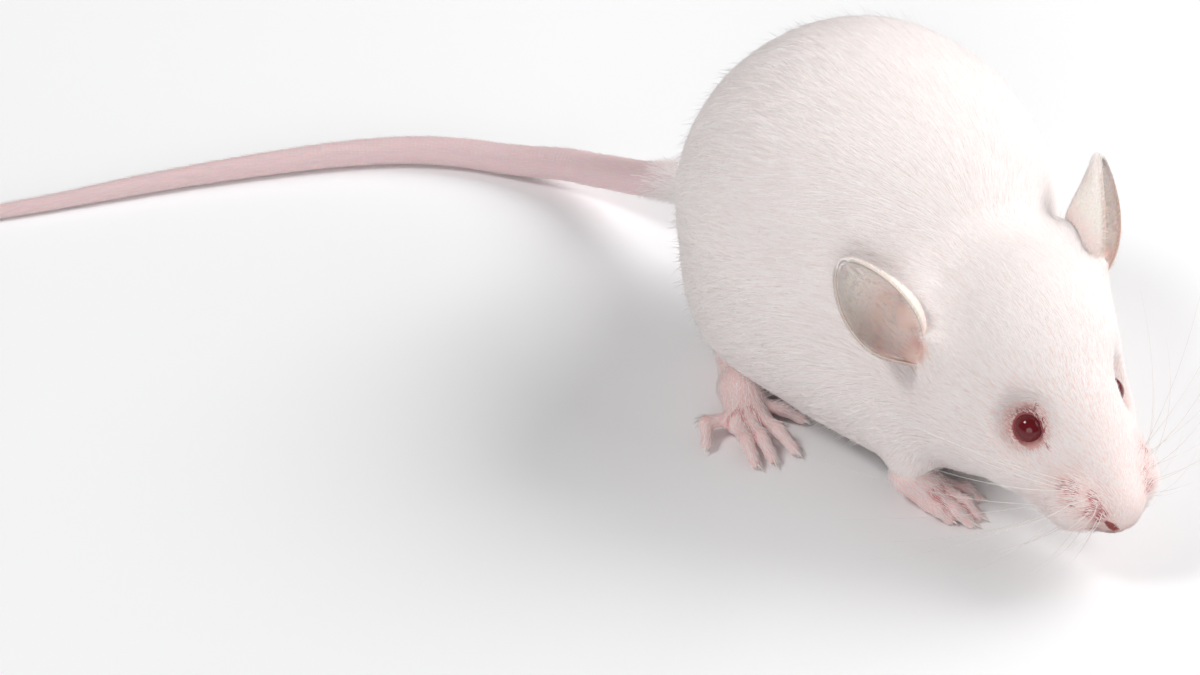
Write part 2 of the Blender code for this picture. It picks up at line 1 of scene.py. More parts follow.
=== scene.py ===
"""Looks of a life-size white pet mouse: skin, coat, eyes, claws and whiskers.

Every shape is worked out in millimetres on the mouse's own working frame (the
floor under the root of the tail) and moved to the frame of the solids, which
is read off the eyes. One smooth field, melted from named eggs and limbs, gives
the outline of the coat; skin and tufts are both laid out against it.
"""
import math
from collections import namedtuple

import bmesh
import bpy
import numpy as np
from mathutils import Matrix, Vector


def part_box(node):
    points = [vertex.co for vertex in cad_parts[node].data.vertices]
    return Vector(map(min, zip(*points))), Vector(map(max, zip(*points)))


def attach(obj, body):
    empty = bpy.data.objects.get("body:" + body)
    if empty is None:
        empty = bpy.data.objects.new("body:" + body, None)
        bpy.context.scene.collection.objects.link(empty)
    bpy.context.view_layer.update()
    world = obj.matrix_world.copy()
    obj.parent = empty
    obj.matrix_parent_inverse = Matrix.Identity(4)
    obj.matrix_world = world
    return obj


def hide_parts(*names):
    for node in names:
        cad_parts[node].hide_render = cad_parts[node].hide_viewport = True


bl_info = {
    "name": "White mouse looks",
    "version": (1, 0, 0),
    "blender": (4, 5, 0),
    "location": "View3D > Sidebar > Mouse",
    "description": "Skin, coat, eyes, claws and whiskers of a still white mouse",
    "category": "Add Mesh",
}

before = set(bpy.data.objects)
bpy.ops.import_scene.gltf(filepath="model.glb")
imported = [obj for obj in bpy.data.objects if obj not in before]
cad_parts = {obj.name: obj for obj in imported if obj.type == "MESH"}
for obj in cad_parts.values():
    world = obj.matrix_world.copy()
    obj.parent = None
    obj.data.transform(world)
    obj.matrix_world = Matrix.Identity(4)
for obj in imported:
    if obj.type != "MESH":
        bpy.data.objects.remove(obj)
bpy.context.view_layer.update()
MM = 0.001

# ---------------------------------------------------------------------------
# The forms of the body, in millimetres
# ---------------------------------------------------------------------------
Egg = namedtuple("Egg", "centre radii melt")
Limb = namedtuple("Limb", "start end start_radius end_radius melt")

LEG_MELT = 2.0
BELLY_HEIGHT = 2.0
BELLY_EDGE = 3.0
TRUNK_MELT = 6.0
RUMP = Egg((0.0, -26.9, 23.35), (20.0, 17.5, 18.3), TRUNK_MELT)
LOIN = Egg((1.5, -34.2, 15.9), (19.1, 14.9, 21.3), TRUNK_MELT)
CHEST = Egg((-1.2, -50.35, 14.35), (12.25, 11.7, 13.0), TRUNK_MELT)
HAUNCH = Egg((11.1, -25.0, 13.2), (6.85, 9.6, 9.7), 4.0)
SHOULDER = Egg((6.9, -43.05, 10.8), (6.25, 8.3, 9.0), 4.0)
CHEST_MIDDLE_X = -2.2
TAIL_ROOT = Limb((0.0, -15.0, 13.0), (0.0, -3.0, 9.7), 7.5, 2.3, 4.5)

BETWEEN_EYES = (-3.6, -63.9, 16.1)
HEAD_TURN, HEAD_PITCH, HEAD_TILT = -10.0, 29.5, 1.9
CRANIUM = Egg((0.0, 8.9, -1.3), (8.95, 9.75, 8.05), 0.0)
SNOUT = Limb((0.0, 1.0, -2.0), (0.0, -9.3, -2.8), 6.35, 3.4, 2.5)
NOSE = Limb((0.0, -9.3, -2.8), (0.0, -9.65, -5.4), 2.8, 1.7, 1.5)
WHISKER_PAD = Egg((3.6, -7.0, -3.35), (3.35, 4.0, 3.3), 1.3)
CHEEK = Egg((4.7, 2.0, -5.2), (4.95, 6.95, 5.2), 3.0)
JAW = Limb((0.0, 4.0, -7.6), (0.0, -5.3, -7.4), 4.2, 2.2, 2.0)
NECK_START = (0.0, 12.0, -2.5)
NECK_RADII = (8.35, 10.95)
NECK_MELT = HEAD_MELT = 4.0
EYE_CENTRE = (5.35, 0.9, -0.9)
EYE_RADIUS = 1.65
EYE_DISH = ((7.6, 0.9, 1.1), 3.2, 1.4)

EAR_ROOTS = (Limb((8.0, 13.0, -3.0), (9.7, 17.6, 0.1), 3.3, 1.5, 2.5),
             Limb((8.4, 11.6, -2.2), (11.5, 13.3, 0.6), 2.6, 0.9, 2.0))
EAR_CUP = Limb((13.4, 14.4, -1.4), (12.7, 17.6, -0.9), 3.0, 2.5, 0.0)   # the ear's hollow
EAR_CANAL = Limb((12.6, 14.6, -1.8), (9.8, 14.0, -2.6), 1.9, 0.8, 0.0)
EAR_CANAL_EDGE = 0.8
EAR_FOOT = (11.75, 12.15, -2.5)
EAR_TURN, EAR_RISE, EAR_FACE = 0.53, 0.71, 0.0
EAR_LENGTH, EAR_HALF_WIDTH = 12.0, 3.65
EAR_WIDEST, EAR_FOOT_WIDTH = 0.44, 0.24
EAR_FOOT_BEND, EAR_TIP_BEND, EAR_CURL = 2.8, 1.45, 0.64
EAR_SUNK, EAR_TOP = -0.12, 0.992
EAR_WALL = 0.34              # the real thickness of the leaf

TAIL_PATH = ((0.0, -3.0, 9.9), (0.0, 0.0, 8.9), (-0.5, 5.3, 6.6), (-0.9, 11.6, 4.3),
             (-2.8, 18.4, 2.7), (-8.9, 29.0, 0.0), (-17.6, 37.1, 0.0), (-32.9, 46.5, 0.0),
             (-48.9, 54.7, 0.0), (-60.3, 60.8, 0.0), (-68.0, 64.6, 0.0))
TAIL_RADIUS, TAIL_TIP_RADIUS, TAIL_TAPER = 2.15, 0.55, 1.25
TAIL_FLAT = math.cos(math.pi / 10)        # the tail's solids have ten sides

TOE_RADII = (0.80, 0.72, 0.62)
FINGER_RADII = (0.75, 0.68, 0.58)
CLAW_RADII = (0.38, 0.26)
TOE_MELT = 0.6
HIND_LEG = (Limb((-11.5, -23.5, 10.5), (-10.6, -20.6, 3.2), 5.0, 2.2, 0.0),)
HIND_SOLE = (Limb((-10.6, -20.4, 1.8), (-14.6, -25.6, 1.7), 2.0, 2.1, 0.0),
             Limb((-14.6, -25.6, 1.7), (-18.4, -28.9, 1.5), 2.1, 1.45, 1.5),
             Limb((-14.0, -25.2, 1.7), (-16.4, -30.0, 1.4), 2.0, 1.4, 1.5))
HIND_TOES = (((-18.6, -28.0, 1.6), (-21.3, -26.9, 1.8), (-22.9, -28.6, 0.9), (-23.9, -29.4, 0.45)),
             ((-19.0, -29.5, 1.7), (-20.2, -32.0, 2.0), (-21.2, -34.3, 0.9), (-21.2, -35.7, 0.45)),
             ((-17.8, -30.0, 1.8), (-18.7, -32.8, 2.1), (-19.3, -35.1, 0.9), (-19.8, -36.5, 0.45)),
             ((-16.3, -30.2, 1.7), (-16.5, -33.2, 2.0), (-16.6, -35.8, 0.9), (-16.6, -37.2, 0.45)),
             ((-14.3, -28.6, 1.4), (-13.3, -30.8, 1.6), (-12.3, -32.7, 0.8), (-12.0, -33.9, 0.45)))
FORELEG = (Limb((-9.0, -45.5, 11.0), (-12.2, -48.6, 4.6), 4.4, 2.3, 0.0),)
FORE_SOLE = (Limb((-12.4, -49.0, 3.1), (-12.0, -52.0, 1.15), 1.9, 1.35, 0.0),
             Limb((-12.3, -49.0, 3.1), (-9.9, -52.0, 1.15), 1.8, 1.35, 1.2))
FINGERS = (((-12.6, -52.0, 1.3), (-12.7, -53.6, 1.4), (-12.3, -54.9, 0.5), (-12.1, -56.1, 0.35)),
           ((-11.7, -52.8, 1.5), (-11.6, -55.0, 1.6), (-11.1, -56.8, 0.5), (-10.6, -58.2, 0.35)),
           ((-10.3, -52.9, 1.5), (-10.0, -55.0, 1.6), (-9.7, -56.6, 0.5), (-9.2, -58.0, 0.35)),
           ((-8.9, -52.1, 1.3), (-8.3, -53.4, 1.4), (-7.7, -54.6, 0.5), (-7.0, -55.8, 0.35)))
LEFT_HIND_SHIFT = (0.0, 1.0)
LEFT_FORE_SHIFT = (2.0 * CHEST_MIDDLE_X, 2.5)


def turned(turn, pitch, tilt):
    about_z = Matrix.Rotation(math.radians(turn), 3, "Z")
    about_x = Matrix.Rotation(math.radians(pitch), 3, "X")
    about_y = Matrix.Rotation(math.radians(tilt), 3, "Y")
    return np.array(about_z @ about_x @ about_y)


LEVEL = np.eye(3)
HEAD_AXES = turned(HEAD_TURN, HEAD_PITCH, HEAD_TILT)


def on_head(point):
    """A place on the head's own axes: x left, y back, z up, from between the eyes."""
    return np.array(BETWEEN_EYES) + HEAD_AXES @ np.array(point, float)


def off_head(points):
    """Working places on the head's axes."""
    return (points - np.array(BETWEEN_EYES)) @ HEAD_AXES


# The working frame meets the frame of the solids at the left eye.
EYE_LOW, EYE_HIGH = (np.array(corner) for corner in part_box("eye_left"))
OFFSET = (EYE_LOW + EYE_HIGH) / 2 / MM - on_head(EYE_CENTRE)
OFFSET[2] = 0.0


def to_row(points):
    """Working millimetres to metres in the frame of the solids."""
    return (np.asarray(points, float) + OFFSET) * MM


# ---------------------------------------------------------------------------
# Distance to the melted forms; negative inside
# ---------------------------------------------------------------------------
def egg_distance(points, egg, axes=LEVEL):
    local = (points - np.array(egg.centre)) @ axes
    scaled = local / np.array(egg.radii)
    size = np.linalg.norm(scaled, axis=1)
    return size * (size - 1.0) / (np.linalg.norm(scaled / np.array(egg.radii), axis=1) + 1e-9)


def limb_distance(points, limb):
    """A cone with a ball at each end."""
    start = np.array(limb.start, float)
    along = np.array(limb.end, float) - start
    length2 = along @ along
    taper = limb.start_radius - limb.end_radius
    slant2 = length2 - taper * taper
    offset = points - start
    run = offset @ along
    past = run - length2
    across = offset * length2 - run[:, None] * along
    across2 = (across * across).sum(axis=1)
    run2 = run * run * length2
    past2 = past * past * length2
    side = np.sign(taper) * taper * taper * across2
    at_end = np.sign(past) * slant2 * past2 > side
    at_start = np.sign(run) * slant2 * run2 < side
    on_cone = (np.sqrt(across2 * slant2 / length2) + run * taper) / length2 - limb.start_radius
    return np.where(
        at_end, np.sqrt(across2 + past2) / length2 - limb.end_radius,
        np.where(at_start, np.sqrt(across2 + run2) / length2 - limb.start_radius, on_cone))


def melt(first, second, width):
    """Union of two distances, with a fillet of this width."""
    if width == 0.0:
        return np.minimum(first, second)
    share = np.clip(0.5 + 0.5 * (second - first) / width, 0.0, 1.0)
    return second * (1 - share) + first * share - width * share * (1 - share)


def carve(distance, cutter, width):
    """Take the cutter away, leaving an edge of this width."""
    return -melt(-distance, cutter, width)


def smooth_step(value, low, high):
    share = np.clip((value - low) / (high - low), 0.0, 1.0)
    return share * share * (3 - 2 * share)


def mirrored(form, middle=0.0, shift=(0.0, 0.0)):
    def place(point):
        return (2.0 * middle - point[0] + shift[0], point[1] + shift[1], point[2])
    if isinstance(form, Egg):
        return form._replace(centre=place(form.centre))
    return form._replace(start=place(form.start), end=place(form.end))


def moved(form, offset):
    return form._replace(centre=tuple(np.array(form.centre) + np.array(offset)))


def head_form(form):
    if isinstance(form, Egg):
        return form._replace(centre=tuple(on_head(form.centre)))
    return form._replace(start=tuple(on_head(form.start)), end=tuple(on_head(form.end)))


def trunk_forms():
    forms = [RUMP, LOIN, CHEST]
    for side in (1, -1):
        forms.append(HAUNCH if side == 1 else mirrored(HAUNCH))
        shoulder = SHOULDER if side == 1 else mirrored(SHOULDER)
        forms.append(moved(shoulder, (CHEST_MIDDLE_X, 0.0, 0.0)))
    forms.append(TAIL_ROOT)
    return forms


def head_forms():
    forms = [CRANIUM, SNOUT, NOSE]
    for side in (1, -1):
        for form in (WHISKER_PAD, CHEEK) + EAR_ROOTS:
            forms.append(form if side == 1 else mirrored(form))
    forms.append(JAW)
    forms = [head_form(form) for form in forms]
    forms.append(Limb(tuple(on_head(NECK_START)), CHEST.centre, *NECK_RADII, NECK_MELT))
    return forms


def left_hind(form):
    return mirrored(form, shift=LEFT_HIND_SHIFT)


def left_fore(form):
    return mirrored(form, shift=LEFT_FORE_SHIFT)


def same(form):
    return form


TRUNK_FORMS = trunk_forms()
HEAD_FORMS = head_forms()
FORELEGS = FORELEG + tuple(left_fore(form) for form in FORELEG)
HIND_SHANKS = HIND_LEG + tuple(left_hind(form) for form in HIND_LEG)
FEET = (("hind_foot_right", HIND_SOLE, HIND_TOES, TOE_RADII, same),
        ("hind_foot_left", HIND_SOLE, HIND_TOES, TOE_RADII, left_hind),
        ("forefoot_right", FORE_SOLE, FINGERS, FINGER_RADII, same),
        ("forefoot_left", FORE_SOLE, FINGERS, FINGER_RADII, left_fore))


def melted(points, forms, axes=LEVEL):
    distance = None
    for form in forms:
        if isinstance(form, Egg):
            own = egg_distance(points, form, axes)
        else:
            own = limb_distance(points, form)
        distance = own if distance is None else melt(distance, own, form.melt)
    return distance


def coat_distance(points):
    """The outline of the coat on head, trunk and forelegs."""
    distance = melt(melted(points, TRUNK_FORMS), melted(points, HEAD_FORMS, HEAD_AXES), HEAD_MELT)
    for leg in FORELEGS:
        distance = melt(distance, limb_distance(points, leg), LEG_MELT)
    distance = -melt(-distance, points[:, 2] - BELLY_HEIGHT, BELLY_EDGE)
    centre, radius, softness = EYE_DISH
    for side in (1, -1):
        dish = np.linalg.norm(points - on_head((side * centre[0], *centre[1:])), axis=1) - radius
        distance = carve(distance, dish, softness)
    return distance


def slope_of(points, distance, step=0.02):
    return np.stack([distance(points + step * LEVEL[axis]) - distance(points - step * LEVEL[axis])
                     for axis in range(3)], axis=1) / (2 * step)


def settled(points, distance, level=0.0, rounds=4, pace=0.9):
    """Places moved along the slope of the distance on to this level."""
    for _ in range(rounds):
        here = distance(points) - level
        slope = slope_of(points, distance)
        steepness = np.maximum((slope * slope).sum(axis=1), 0.25)
        points = points - pace * slope * (here / steepness)[:, None]
    return points


# ---------------------------------------------------------------------------
# The skin under the coat
# ---------------------------------------------------------------------------
FACE_DEPTH, BODY_DEPTH = 0.09, 0.20       # of the coat over the skin
SHANK_THINNING = (1.0, 0.3)               # of the hind legs' skin, at the hip and the heel
LID_WALL = 0.16
LID_AXIS = np.array((0.80, -0.16, 0.58))  # of the left eye, on the head's axes
LID_FRONT, LID_BACK, LID_HALF_HEIGHT = 1.95, 1.64, 1.57
EYE_BED = 0.12               # the skin under the eyeball lies this far inside it
TEAR_LINE = Limb((5.7, -0.85, 0.1), (5.4, -2.2, 0.2), 0.24, 0.05, 0.0)
BROW_LINE = Limb((4.62, 1.2, 1.45), (4.75, 2.4, 1.5), 0.16, 0.05, 0.0)
NOSTRIL = (Limb((1.5, -12.35, -2.8), (2.05, -11.9, -2.25), 0.26, 0.34, 0.0),
           Limb((2.05, -11.9, -2.25), (2.5, -11.3, -1.95), 0.32, 0.10, 0.0))
PHILTRUM = Limb((0.0, -12.8, -3.4), (0.0, -11.4, -6.9), 0.16, 0.18, 0.0)
MOUTH = (Limb((0.0, -10.9, -6.9), (1.6, -9.4, -7.0), 0.16, 0.16, 0.0),
         Limb((1.6, -9.4, -7.0), (2.6, -6.8, -7.6), 0.16, 0.08, 0.0))
GROOVE_EDGE = 0.15
FOLLICLE_ROWS, FOLLICLE_COLUMNS = 4, 5
FOLLICLE_CORNERS = (((2.9, -10.4, -0.9), (5.0, -6.0, 0.2)),      # top row, front and back
                    ((3.4, -9.9, -5.2), (6.2, -6.2, -5.4)))      # bottom row
FOLLICLE_PIT = 0.52
BODY_VOXEL, FOOT_VOXEL = 0.70, 0.19


def follicles():
    """Where the whiskers of the left pad leave the skin, on the head's axes."""
    (top_front, top_back), (low_front, low_back) = np.array(FOLLICLE_CORNERS)
    places = []
    for row in range(FOLLICLE_ROWS):
        fall = row / (FOLLICLE_ROWS - 1)
        for column in range(FOLLICLE_COLUMNS):
            back = (column + 0.35 * (row % 2)) / (FOLLICLE_COLUMNS - 0.65)
            front_place = top_front * (1 - fall) + low_front * fall
            back_place = top_back * (1 - fall) + low_back * fall
            places.append(front_place * (1 - back) + back_place * back)
    dice = np.random.default_rng(3)
    places = np.array(places) + dice.normal(0.0, 0.22, (len(places), 3))
    places = places @ HEAD_AXES.T + np.array(BETWEEN_EYES)
    return off_head(settled(places, coat_distance, level=-FACE_DEPTH, rounds=6))


def coat_depth(points):
    """How deep the coat is: thin on the face and lower legs, none where the tail begins."""
    back = off_head(points)[:, 1]
    depth = FACE_DEPTH + (BODY_DEPTH - FACE_DEPTH) * smooth_step(back, -8.0, 17.0)
    for leg in FORELEGS:
        away = np.linalg.norm(points - np.array(leg.end), axis=1)
        depth *= 0.3 + 0.7 * smooth_step(away, 1.5, 8.0)
    away = np.linalg.norm(points - np.array(TAIL_ROOT.end), axis=1)
    return depth * (0.1 + 0.9 * smooth_step(away, 2.0, 9.0))


def lid_parts(points, side):
    """Distances to the lid's ball and to the opening, for the eye on this side."""
    local = off_head(points) * np.array((side, 1.0, 1.0)) - np.array(EYE_CENTRE)
    axis = LID_AXIS / np.linalg.norm(LID_AXIS)
    ahead = np.array((0.0, -1.0, -0.25))
    ahead -= axis * (ahead @ axis)
    ahead /= np.linalg.norm(ahead)
    upward = np.cross(axis, ahead)
    run = local @ ahead
    length = np.where(run > 0.0, LID_FRONT, LID_BACK)
    reach = np.sqrt((run / length) ** 2 + (local @ upward / LID_HALF_HEIGHT) ** 2)
    opening = (reach - 1.0) * LID_HALF_HEIGHT
    opening = np.maximum(opening, -(local @ axis))
    ball = np.linalg.norm(local, axis=1)
    opening = np.maximum(opening, EYE_RADIUS - EYE_BED - ball)
    return ball - EYE_RADIUS - LID_WALL, opening


FOLLICLES = follicles()


def from_follicles(points):
    """Distance to the nearest whisker root of either side."""
    local = off_head(points)
    local[:, 0] = np.abs(local[:, 0])
    nearest = np.full(len(points), 99.0)
    for place in FOLLICLES:
        nearest = np.minimum(nearest, np.linalg.norm(local - place, axis=1))
    return nearest


def skin_distance(points):
    """The skin inside the coat, with lids, nostrils and mouth."""
    distance = coat_distance(points) + coat_depth(points)
    for shank in HIND_SHANKS:
        at_hip, at_heel = SHANK_THINNING
        slim = shank._replace(start_radius=shank.start_radius - at_hip,
                              end_radius=shank.end_radius - at_heel)
        distance = melt(distance, limb_distance(points, slim), 1.0)
    local = off_head(points)
    for side in (1, -1):
        lid, opening = lid_parts(points, side)
        distance = carve(melt(distance, lid, 0.5), opening, 0.12)
        here = local * np.array((side, 1.0, 1.0))
        for shaded_groove in NOSTRIL + MOUTH + (TEAR_LINE, BROW_LINE):
            distance = carve(distance, limb_distance(here, shaded_groove), GROOVE_EDGE)
        distance = carve(distance, limb_distance(here, EAR_CANAL), EAR_CANAL_EDGE)
    return carve(distance, limb_distance(local, PHILTRUM), GROOVE_EDGE)


def new_object(name, mesh):
    thing = bpy.data.objects.new(name, mesh)
    bpy.context.collection.objects.link(thing)
    return thing


def mesh_from(bm, name):
    mesh = bpy.data.meshes.new(name)
    bm.to_mesh(mesh)
    bm.free()
    return mesh


def evaluated(thing):
    """The object with its modifiers made part of its mesh."""
    graph = bpy.context.evaluated_depsgraph_get()
    mesh = bpy.data.meshes.new_from_object(thing.evaluated_get(graph))
    thing.modifiers.clear()
    thing.data = mesh
    return thing


def drop(*things):
    for thing in things:
        bpy.data.objects.remove(thing, do_unlink=True)


def points_of(mesh):
    flat = np.empty(len(mesh.vertices) * 3)
    mesh.vertices.foreach_get("co", flat)
    return flat.reshape(-1, 3)


def put_points(mesh, points):
    mesh.vertices.foreach_set("co", np.ascontiguousarray(points, float).ravel())
    mesh.update()


def add_egg(bm, egg, axes):
    grown = bmesh.ops.create_icosphere(bm, subdivisions=4, radius=1.0)["verts"]
    axes = Matrix(axes.tolist()).to_4x4()
    matrix = Matrix.Translation(Vector(egg.centre)) @ axes @ Matrix.Diagonal((*egg.radii, 1.0))
    bmesh.ops.transform(bm, matrix=matrix, verts=grown)


def add_limb(bm, limb):
    """The hull of the two end balls."""
    part = bmesh.new()
    for place, radius in ((limb.start, limb.start_radius), (limb.end, limb.end_radius)):
        bmesh.ops.create_icosphere(part, subdivisions=3, radius=radius,
                                   matrix=Matrix.Translation(Vector(place)))
    hull = bmesh.ops.convex_hull(part, input=part.verts)
    inside = [vert for vert in hull["geom_interior"] if isinstance(vert, bmesh.types.BMVert)]
    bmesh.ops.delete(part, geom=inside, context="VERTS")
    mesh = mesh_from(part, "limb")
    bm.from_mesh(mesh)
    bpy.data.meshes.remove(mesh)


def remeshed(name, forms, voxel):
    bm = bmesh.new()
    for form, axes in forms:
        if isinstance(form, Egg):
            add_egg(bm, form, axes)
        else:
            add_limb(bm, form)
    body = new_object(name, mesh_from(bm, name))
    remesh = body.modifiers.new("skin", "REMESH")
    remesh.mode = "VOXEL"
    remesh.voxel_size = voxel
    evaluated(body)
    return body


def refine(mesh, wanted):
    """Split the edges whose two ends are both wanted."""
    bm = bmesh.new()
    bm.from_mesh(mesh)
    bmesh.ops.triangulate(bm, faces=bm.faces)
    bm.verts.index_update()
    edges = [edge for edge in bm.edges
             if wanted[edge.verts[0].index] and wanted[edge.verts[1].index]]
    bmesh.ops.subdivide_edges(bm, edges=edges, cuts=1, use_grid_fill=True)
    bmesh.ops.triangulate(bm, faces=bm.faces)
    bm.to_mesh(mesh)
    bm.free()


def near_eyes(points, reach):
    local = off_head(points)
    local[:, 0] = np.abs(local[:, 0])
    return np.linalg.norm(local - np.array(EYE_CENTRE), axis=1) < reach


def make_trunk_skin():
    """Head, trunk and legs: coarse under the coat, fine on the face, finest round the eyes."""
    forms = [(form, LEVEL) for form in TRUNK_FORMS + list(FORELEGS + HIND_SHANKS)]
    forms += [(form, HEAD_AXES) for form in HEAD_FORMS]
    body = remeshed("mouse_skin", forms, BODY_VOXEL)
    put_points(body.data, settled(points_of(body.data), skin_distance, rounds=5, pace=0.7))
    refine(body.data, off_head(points_of(body.data))[:, 1] < 4.5)
    put_points(body.data, settled(points_of(body.data), skin_distance, rounds=3))
    points = points_of(body.data)
    refine(body.data, (off_head(points)[:, 1] < -6.0) | near_eyes(points, 2.9))
    put_points(body.data, settled(points_of(body.data), skin_distance, rounds=3))
    refine(body.data, near_eyes(points_of(body.data), 2.3))
    put_points(body.data, settled(points_of(body.data), skin_distance, rounds=4, pace=0.6))
    return body


def toe_forms(places, radii):
    root, knuckle, tip, _ = places
    return [Limb(root, knuckle, radii[0], radii[1], TOE_MELT),
            Limb(knuckle, tip, radii[1], radii[2], TOE_MELT)]


def foot_forms(sole, digits, radii, place):
    forms = list(sole)
    for digit in digits:
        forms.extend(toe_forms(digit, radii))
    return [place(form) for form in forms]


def foot_distance(points, forms):
    distance = melted(points, forms)
    return carve(distance, points[:, 2], 0.12)


def make_foot_skin(name, sole, digits, radii, place):
    forms = foot_forms(sole, digits, radii, place)
    foot = remeshed(name, [(form, LEVEL) for form in forms], FOOT_VOXEL)
    points = settled(points_of(foot.data), lambda p: foot_distance(p, forms), rounds=4)
    points[:, 2] = np.maximum(points[:, 2], 0.0)
    put_points(foot.data, points)
    return foot


def ear_point(along, across, depth):
    """A point of the left ear on the head's axes: along 0 to 1, across -1 to 1."""
    long_axis = np.array((math.cos(EAR_RISE) * math.cos(EAR_TURN),
                          math.cos(EAR_RISE) * math.sin(EAR_TURN), math.sin(EAR_RISE)))
    ahead = np.array((0.0, -1.0, 0.0))
    ahead = ahead - long_axis * (ahead @ long_axis)
    ahead /= np.linalg.norm(ahead)
    mouth = ahead * math.cos(EAR_FACE) + np.cross(long_axis, ahead) * math.sin(EAR_FACE)
    side = np.cross(long_axis, mouth)
    if along > EAR_WIDEST:
        width = math.sqrt(max(0.0, 1 - ((along - EAR_WIDEST) / (1 - EAR_WIDEST)) ** 2))
    else:
        rise = math.sin(max(along, 0.0) / EAR_WIDEST * math.pi / 2) ** 0.9
        width = EAR_FOOT_WIDTH + (1 - EAR_FOOT_WIDTH) * rise
    width *= EAR_HALF_WIDTH
    bend = EAR_FOOT_BEND + (EAR_TIP_BEND - EAR_FOOT_BEND) * min(max(along, 0.0) / 0.9, 1.0)
    radius = width / math.sin(min(bend, math.pi / 2))
    angle = bend * across
    lean = EAR_CURL * EAR_LENGTH * along * abs(along)
    radius_here = radius + depth
    return (np.array(EAR_FOOT) + long_axis * EAR_LENGTH * along
            + side * radius_here * math.sin(angle)
            + mouth * (radius * math.cos(bend) - radius_here * math.cos(angle) - lean))


EAR_ROWS, EAR_COLUMNS = 34, 34


def make_ear_skin(name, side):
    """A thin leaf with a round rim, which starts inside the head."""
    bm = bmesh.new()
    sheets = []
    for face in (-1, 1):
        rows = []
        for row in range(EAR_ROWS + 1):
            share = math.sin(row / EAR_ROWS * math.pi / 2)
            along = EAR_SUNK + (EAR_TOP - EAR_SUNK) * share
            rows.append([])
            for column in range(EAR_COLUMNS + 1):
                across = math.sin((column / EAR_COLUMNS - 0.5) * math.pi)
                rim = 1.0 - max(abs(across), (max(along, 0.0) / EAR_TOP) ** 2) ** 14
                depth = face * EAR_WALL / 2 * (0.35 + 0.65 * rim)
                x, y, z = ear_point(along, across, depth)
                rows[-1].append(bm.verts.new(on_head((side * x, y, z))))
        sheets.append(rows)
    inner, outer = sheets
    for row in range(EAR_ROWS):
        for column in range(EAR_COLUMNS):
            for rows in sheets:
                bm.faces.new((rows[row][column], rows[row][column + 1],
                              rows[row + 1][column + 1], rows[row + 1][column]))
        for column in (0, EAR_COLUMNS):
            bm.faces.new((inner[row][column], inner[row + 1][column],
                          outer[row + 1][column], outer[row][column]))
    for column in range(EAR_COLUMNS):
        for row in (0, EAR_ROWS):
            bm.faces.new((inner[row][column], inner[row][column + 1],
                          outer[row][column + 1], outer[row][column]))
    close_outward(bm)
    return new_object(name, mesh_from(bm, name))


def close_outward(bm):
    bmesh.ops.triangulate(bm, faces=bm.faces)
    bmesh.ops.recalc_face_normals(bm, faces=bm.faces)
    if bm.calc_volume(signed=True) < 0.0:
        bmesh.ops.reverse_faces(bm, faces=bm.faces)


def tail_point(share):
    """The middle of the tail at this share of its path."""
    places = [np.array(place) for place in TAIL_PATH]
    reach = [0.0]
    for before, after in zip(places, places[1:]):
        reach.append(reach[-1] + float(np.linalg.norm(after - before)))
    here = share * reach[-1]
    index = min(max(np.searchsorted(reach, here) - 1, 0), len(places) - 2)
    ends = [places[max(index - 1, 0)], places[index], places[index + 1],
            places[min(index + 2, len(places) - 1)]]
    t = (here - reach[index]) / (reach[index + 1] - reach[index])
    return 0.5 * (2 * ends[1] + (ends[2] - ends[0]) * t
                  + (2 * ends[0] - 5 * ends[1] + 4 * ends[2] - ends[3]) * t * t
                  + (3 * ends[1] - ends[0] - 3 * ends[2] + ends[3]) * t ** 3)


def tail_radius(share):
    return TAIL_TIP_RADIUS + (TAIL_RADIUS - TAIL_TIP_RADIUS) * (1 - share ** TAIL_TAPER)


TAIL_STEPS = 400
TAIL_LANDING = 1.0           # how softly the tail comes down onto the floor


def tail_line():
    """Places, directions and run along the tail, evenly spaced in length."""
    shares = np.linspace(0.0, 1.0, TAIL_STEPS)
    places = np.array([tail_point(share) for share in shares])
    radii = np.array([tail_radius(share) for share in shares])
    places[:, 2] = -melt(-places[:, 2], -radii * TAIL_FLAT, TAIL_LANDING)
    run = np.concatenate(([0.0], np.cumsum(np.linalg.norm(np.diff(places, axis=0), axis=1))))
    return places, radii, run


def tail_frame(places, run, at):
    """Place, direction, sideways and up of the tail at this run from its root."""
    place = np.array([np.interp(at, run, places[:, axis]) for axis in range(3)])
    ahead = np.array([np.interp(at + 0.8, run, places[:, axis]) for axis in range(3)])
    behind = np.array([np.interp(at - 0.8, run, places[:, axis]) for axis in range(3)])
    along = ahead - behind
    along /= np.linalg.norm(along)
    across = np.cross(along, (0.0, 0.0, 1.0))
    across /= np.linalg.norm(across)
    return place, along, across, np.cross(across, along)


RING_PITCH = 0.55            # of the tail's scaly rings, at the root
RING_RELIEF = 0.035          # share of the radius
TAIL_SIDES = 20


